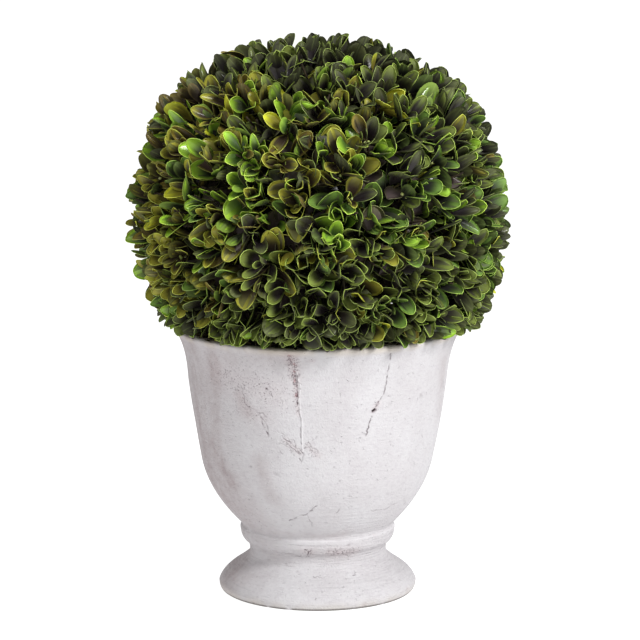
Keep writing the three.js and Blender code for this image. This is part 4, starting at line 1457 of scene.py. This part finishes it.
def make_whitewash():
    """Matt, cloudy whitewash that reads the marks of the mesh."""
    material, tree, shader = new_material("whitewash", Roughness=0.88, Specular_IOR_Level=0.18)
    marks = {name: mark(tree, name) for name in ("crack", "ridge_and_highlight", "worn", "stain_and_shade")}
    place = add_node(tree, "ShaderNodeTexCoord").outputs["Object"]
    level = add_node(tree, "ShaderNodeSeparateXYZ", {0: place}).outputs["Z"]
    runs = effect(tree, MOTTLE, "Mask", Scale=55.0, Stretch=(1, 1, 0.3), Bias=0.46)
    colour, specks, bare = wash_layers(tree, level, runs, marks)
    relief = effect(tree, GRAIN, "Height", Scale=700.0, Detail=5.0)
    brushed = times(tree, between(tree, level, *BRUSHED_BELOW), 1.5, times(tree, runs, 0.4, 0.2))
    for height, amount in (
        (effect(tree, GRAIN, "Height", Scale=620.0, Detail=2.0, Stretch=(0.07, 0.07, 1)), brushed),
        (effect(tree, GRAIN, "Height", Scale=60.0, Detail=3.0), 0.9),
        (effect(tree, SPECKLE, "Mask", Scale=420.0, Stretch=(1, 1, 0.8), Threshold=0.66, Softness=0.1), -0.9),
        (specks, -0.8),
        (bare, -0.7),
    ):
        relief = times(tree, height, amount, relief)
    link_finish(tree, shader, colour, relief, 0.0007, 0.85)
    return material


urn = mesh_piece("urn_wall", wall, urn_triangles, [make_whitewash()],
                 marks={"crack": crack, "ridge_and_highlight": ridge_and_highlight, "worn": worn, "stain_and_shade": stain_and_shade})
fit_out(urn, "urn_clay", "urn")

# %% [markdown]
# ## Soil, the stem's foot and what has fallen on the lip
#
# These lie in the shade of the ball, but a look between the leaves finds them. A plain disc would do for
# the camera, but not for somebody who turns the plant round and looks in. The soil is turned from the
# urn's inner wall and then made crumbly, and the stem gets the furrows of old box bark.

# %% Soil
SOIL_LEVEL = 176.0
SOIL_EDGE_LEVEL = 173.0
SOIL_GAP = np.array([0.6, 0.3])  # room to the urn's wall and floor
SOIL_RINGS, SOIL_COLUMNS = 40, 128
STEM_FOOT_RADIUS = 14.0
SOIL_STILL = 0.5  # the rings this near to the stem and to the wall stay level
CRUMB_SCALE, CRUMB_OCTAVES, CRUMB_HEIGHT, CRUMB_LIMIT = 0.22, 4, 2.2, 2.5


def rough(points, scale, octaves):
    """A noise of either sign at each point."""
    return np.array([noise.fractal(Vector(point) * scale, 1.0, 2.0, octaves) for point in points])


soil_side = inner_section[inner_section[:, 1] < SOIL_EDGE_LEVEL] + SOIL_GAP * [-1, 1]
soil_edge = np.interp(SOIL_EDGE_LEVEL, inner_section[::-1, 1], inner_section[::-1, 0]) - SOIL_GAP[0]
soil_radii = np.linspace(soil_edge, STEM_FOOT_RADIUS, SOIL_RINGS)
soil_top = np.stack([soil_radii, np.linspace(SOIL_EDGE_LEVEL, SOIL_LEVEL, SOIL_RINGS)], axis=1)
soil_section = np.concatenate([[[0, URN_FLOOR + SOIL_GAP[1]]], soil_side[::-1], soil_top, [[0, SOIL_LEVEL]]])
soil_points, caps, quads = turned(soil_section, SOIL_COLUMNS)
soil_radius = np.hypot(soil_points[:, 0], soil_points[:, 1])
loose = (soil_radius > STEM_FOOT_RADIUS + SOIL_STILL) & (soil_radius < soil_edge - SOIL_STILL)
loose &= soil_points[:, 2] > SOIL_EDGE_LEVEL - 0.1
crumbled = rough(soil_points[loose], CRUMB_SCALE, CRUMB_OCTAVES) * CRUMB_HEIGHT
soil_points[loose, 2] += crumbled.clip(-CRUMB_LIMIT, CRUMB_LIMIT)


def all_triangles(triangles, quads):
    """The triangles, and the quads cut in two."""
    corners = np.array(quads)
    return np.concatenate([np.array(triangles), corners[:, [0, 1, 2]], corners[:, [0, 2, 3]]])


dry_soil, tree, shader = new_material("dry_soil", Roughness=0.95, Specular_IOR_Level=0.15)
earth = effect(tree, MOTTLE, "Color", Light=paint(84, 64, 48), Dark=paint(36, 26, 20), Scale=260.0)
straw = effect(tree, SPECKLE, "Mask", Scale=330.0, Stretch=(1, 0.3, 1), Threshold=0.66)
crumbs = effect(tree, GRAIN, "Height", Scale=520.0, Detail=6.0)
link_finish(tree, shader, mixed(tree, straw, earth, paint(132, 112, 78)), crumbs, 0.0015)
fit_out(mesh_piece("soil_top", soil_points, all_triangles(caps, quads), [dry_soil]), "soil", "soil")

# %% Bark of the stem
STEM_FOOT, STEM_END = 176.3, 198.0
FURROW_DEPTH, FURROW_RAISE = 1.1, 0.45
FURROW_STRETCH, FURROW_SCALE, FURROW_OCTAVES = [1, 1, 0.22], 0.55, 3
STEM_FLARE = (13, STEM_FOOT)
STEM_CURVES = [(0.7, (8, 179.3), (8, 188.3)), (0.8, (6.8, STEM_END))]
STEM_COLUMNS = 56
stem_side = section_from(STEM_FLARE, STEM_CURVES)
stem_section = np.concatenate([[(0, STEM_FOOT), STEM_FLARE], stem_side, [(0, STEM_END)]])
stem_points, caps, quads = turned(stem_section, STEM_COLUMNS)
stem_radius = np.hypot(stem_points[:, 0], stem_points[:, 1])
furrow = rough(stem_points * FURROW_STRETCH, FURROW_SCALE, FURROW_OCTAVES)
swell = (0.5 - np.abs(furrow)).clip(-0.2, 0.5) * FURROW_DEPTH - FURROW_RAISE
swell[stem_radius <= 1] = 0
stem_points[:, :2] *= (1 + swell / np.maximum(stem_radius, 1))[:, None]
fit_out(mesh_piece("stem_bark", stem_points, all_triangles(caps, quads), [bark]), "bark", "stem")

# %% Litter on the lip
LITTER_COUNT = 150
LITTER_LIFT = 0.75
LITTER_RADII, LITTER_LENGTHS = (102.5, 113.5), (3.0, 9.0)
LIP_ROUND = 211  # where the lip's rounding begins
LITTER_PAINT = ((66, 56, 38), (34, 26, 22), (78, 68, 46), (72, 62, 42), 0.25)
lip = np.concatenate([section[section[:, 1] > LIP_ROUND] for section in (outer_section, inner_section)])
lip = lip[np.argsort(lip[:, 0])]


def litter_deal(low, high):
    """A random number for each leaf of the litter."""
    return random.uniform(low, high, LITTER_COUNT)


litter_radius = litter_deal(*LITTER_RADII)
litter_turn = any_turn(LITTER_COUNT)
litter_level = np.interp(litter_radius, lip[:, 0], lip[:, 1]) + LITTER_LIFT
litter_way = any_turn(LITTER_COUNT)
litter_length = litter_deal(*LITTER_LENGTHS)
litter_rise = random.normal(0.05, 0.08, LITTER_COUNT)
litter_x, litter_y = litter_radius * np.sin(litter_turn), -litter_radius * np.cos(litter_turn)
litter = {
    "root": np.stack([litter_x, litter_y, litter_level], axis=1),
    "ahead": unit(np.stack([np.cos(litter_way), np.sin(litter_way), litter_rise], axis=1)),
    "length": litter_length,
    "half": litter_length * litter_deal(0.12, 0.3),
    "cup": litter_deal(0, 0.5),
    "curl": litter_deal(0.0, 0.9),
    "twist": random.normal(0, 0.4, LITTER_COUNT),
    "sharp": litter_deal(0, 1),
    "spoon": litter_deal(0, 1),
    "wave": random.normal(0, 0.3, LITTER_COUNT),
}
litter["side"] = unit(np.cross(litter["ahead"], [[0.0, 0.0, 1.0]]))
litter["up"] = np.cross(litter["side"], litter["ahead"])
leaf_piece("rim_litter", leaf_points(litter), LITTER_PAINT)

# %% [markdown]
# ## The floor and the light
#
# The picture is a plain studio one: a white ground that runs out of sight, and a broad soft light from the
# front and the right. A curved backdrop would look the same from the front, but not from behind, so the
# ground is a very large floor. An even sky over it gives the soft fill. One wide lamp on the right gives
# the slow change from light to dark round the urn and the small bright spots on the leaves, and a weaker
# one, high on the left, keeps the other side from going flat. The floor gives off light of its own, as a
# lit paper ground does, so that hardly a shadow is left on it.

# %% Floor
WHITE = (1.0, 1.0, 1.0, 1.0)
FLOOR_SIDE = 40_000.0
FLOOR_GLOW = 0.92
paper, tree, shader = new_material(
    "studio_floor", Roughness=0.8, Emission_Strength=FLOOR_GLOW, Emission_Color=WHITE
)
ground = effect(tree, MOTTLE, "Color", Light=(0.34, 0.34, 0.34, 1), Dark=(0.33, 0.33, 0.33, 1), Scale=2.0)
link_finish(tree, shader, ground)
floor_corners = np.array([[-1, -1, 0], [1, -1, 0], [1, 1, 0], [-1, 1, 0]], float) * FLOOR_SIDE / 2
floor = mesh_piece("studio_floor", floor_corners, np.array([[0, 1, 2], [0, 2, 3]]), [paper])
print("the floor is", FLOOR_SIDE * MM, "m wide")

# %% Light
SKY_STRENGTH = 0.43
LAMP_TARGET = (0, 0, 0.22)
scene = bpy.context.scene
scene.view_settings.view_transform = "Standard"
world = bpy.data.worlds.new("studio_sky")
world.use_nodes = True
sky = world.node_tree.nodes["Background"]
sky.inputs["Color"].default_value = WHITE
sky.inputs["Strength"].default_value = SKY_STRENGTH
scene.world = world


def add_lamp(name, place, size, power):
    """A round lamp that looks at the plant."""
    lamp = bpy.data.lights.new(name, "AREA")
    lamp.shape = "DISK"
    lamp.size = size
    lamp.energy = power
    thing = bpy.data.objects.new(name, lamp)
    thing.location = place
    aim(thing, LAMP_TARGET)
    scene.collection.objects.link(thing)


add_lamp("wide_lamp", (1.28, -1.3, 1.36), 0.6, 40.5)
add_lamp("high_lamp", (-0.75, -1.4, 1.7), 0.5, 9.0)
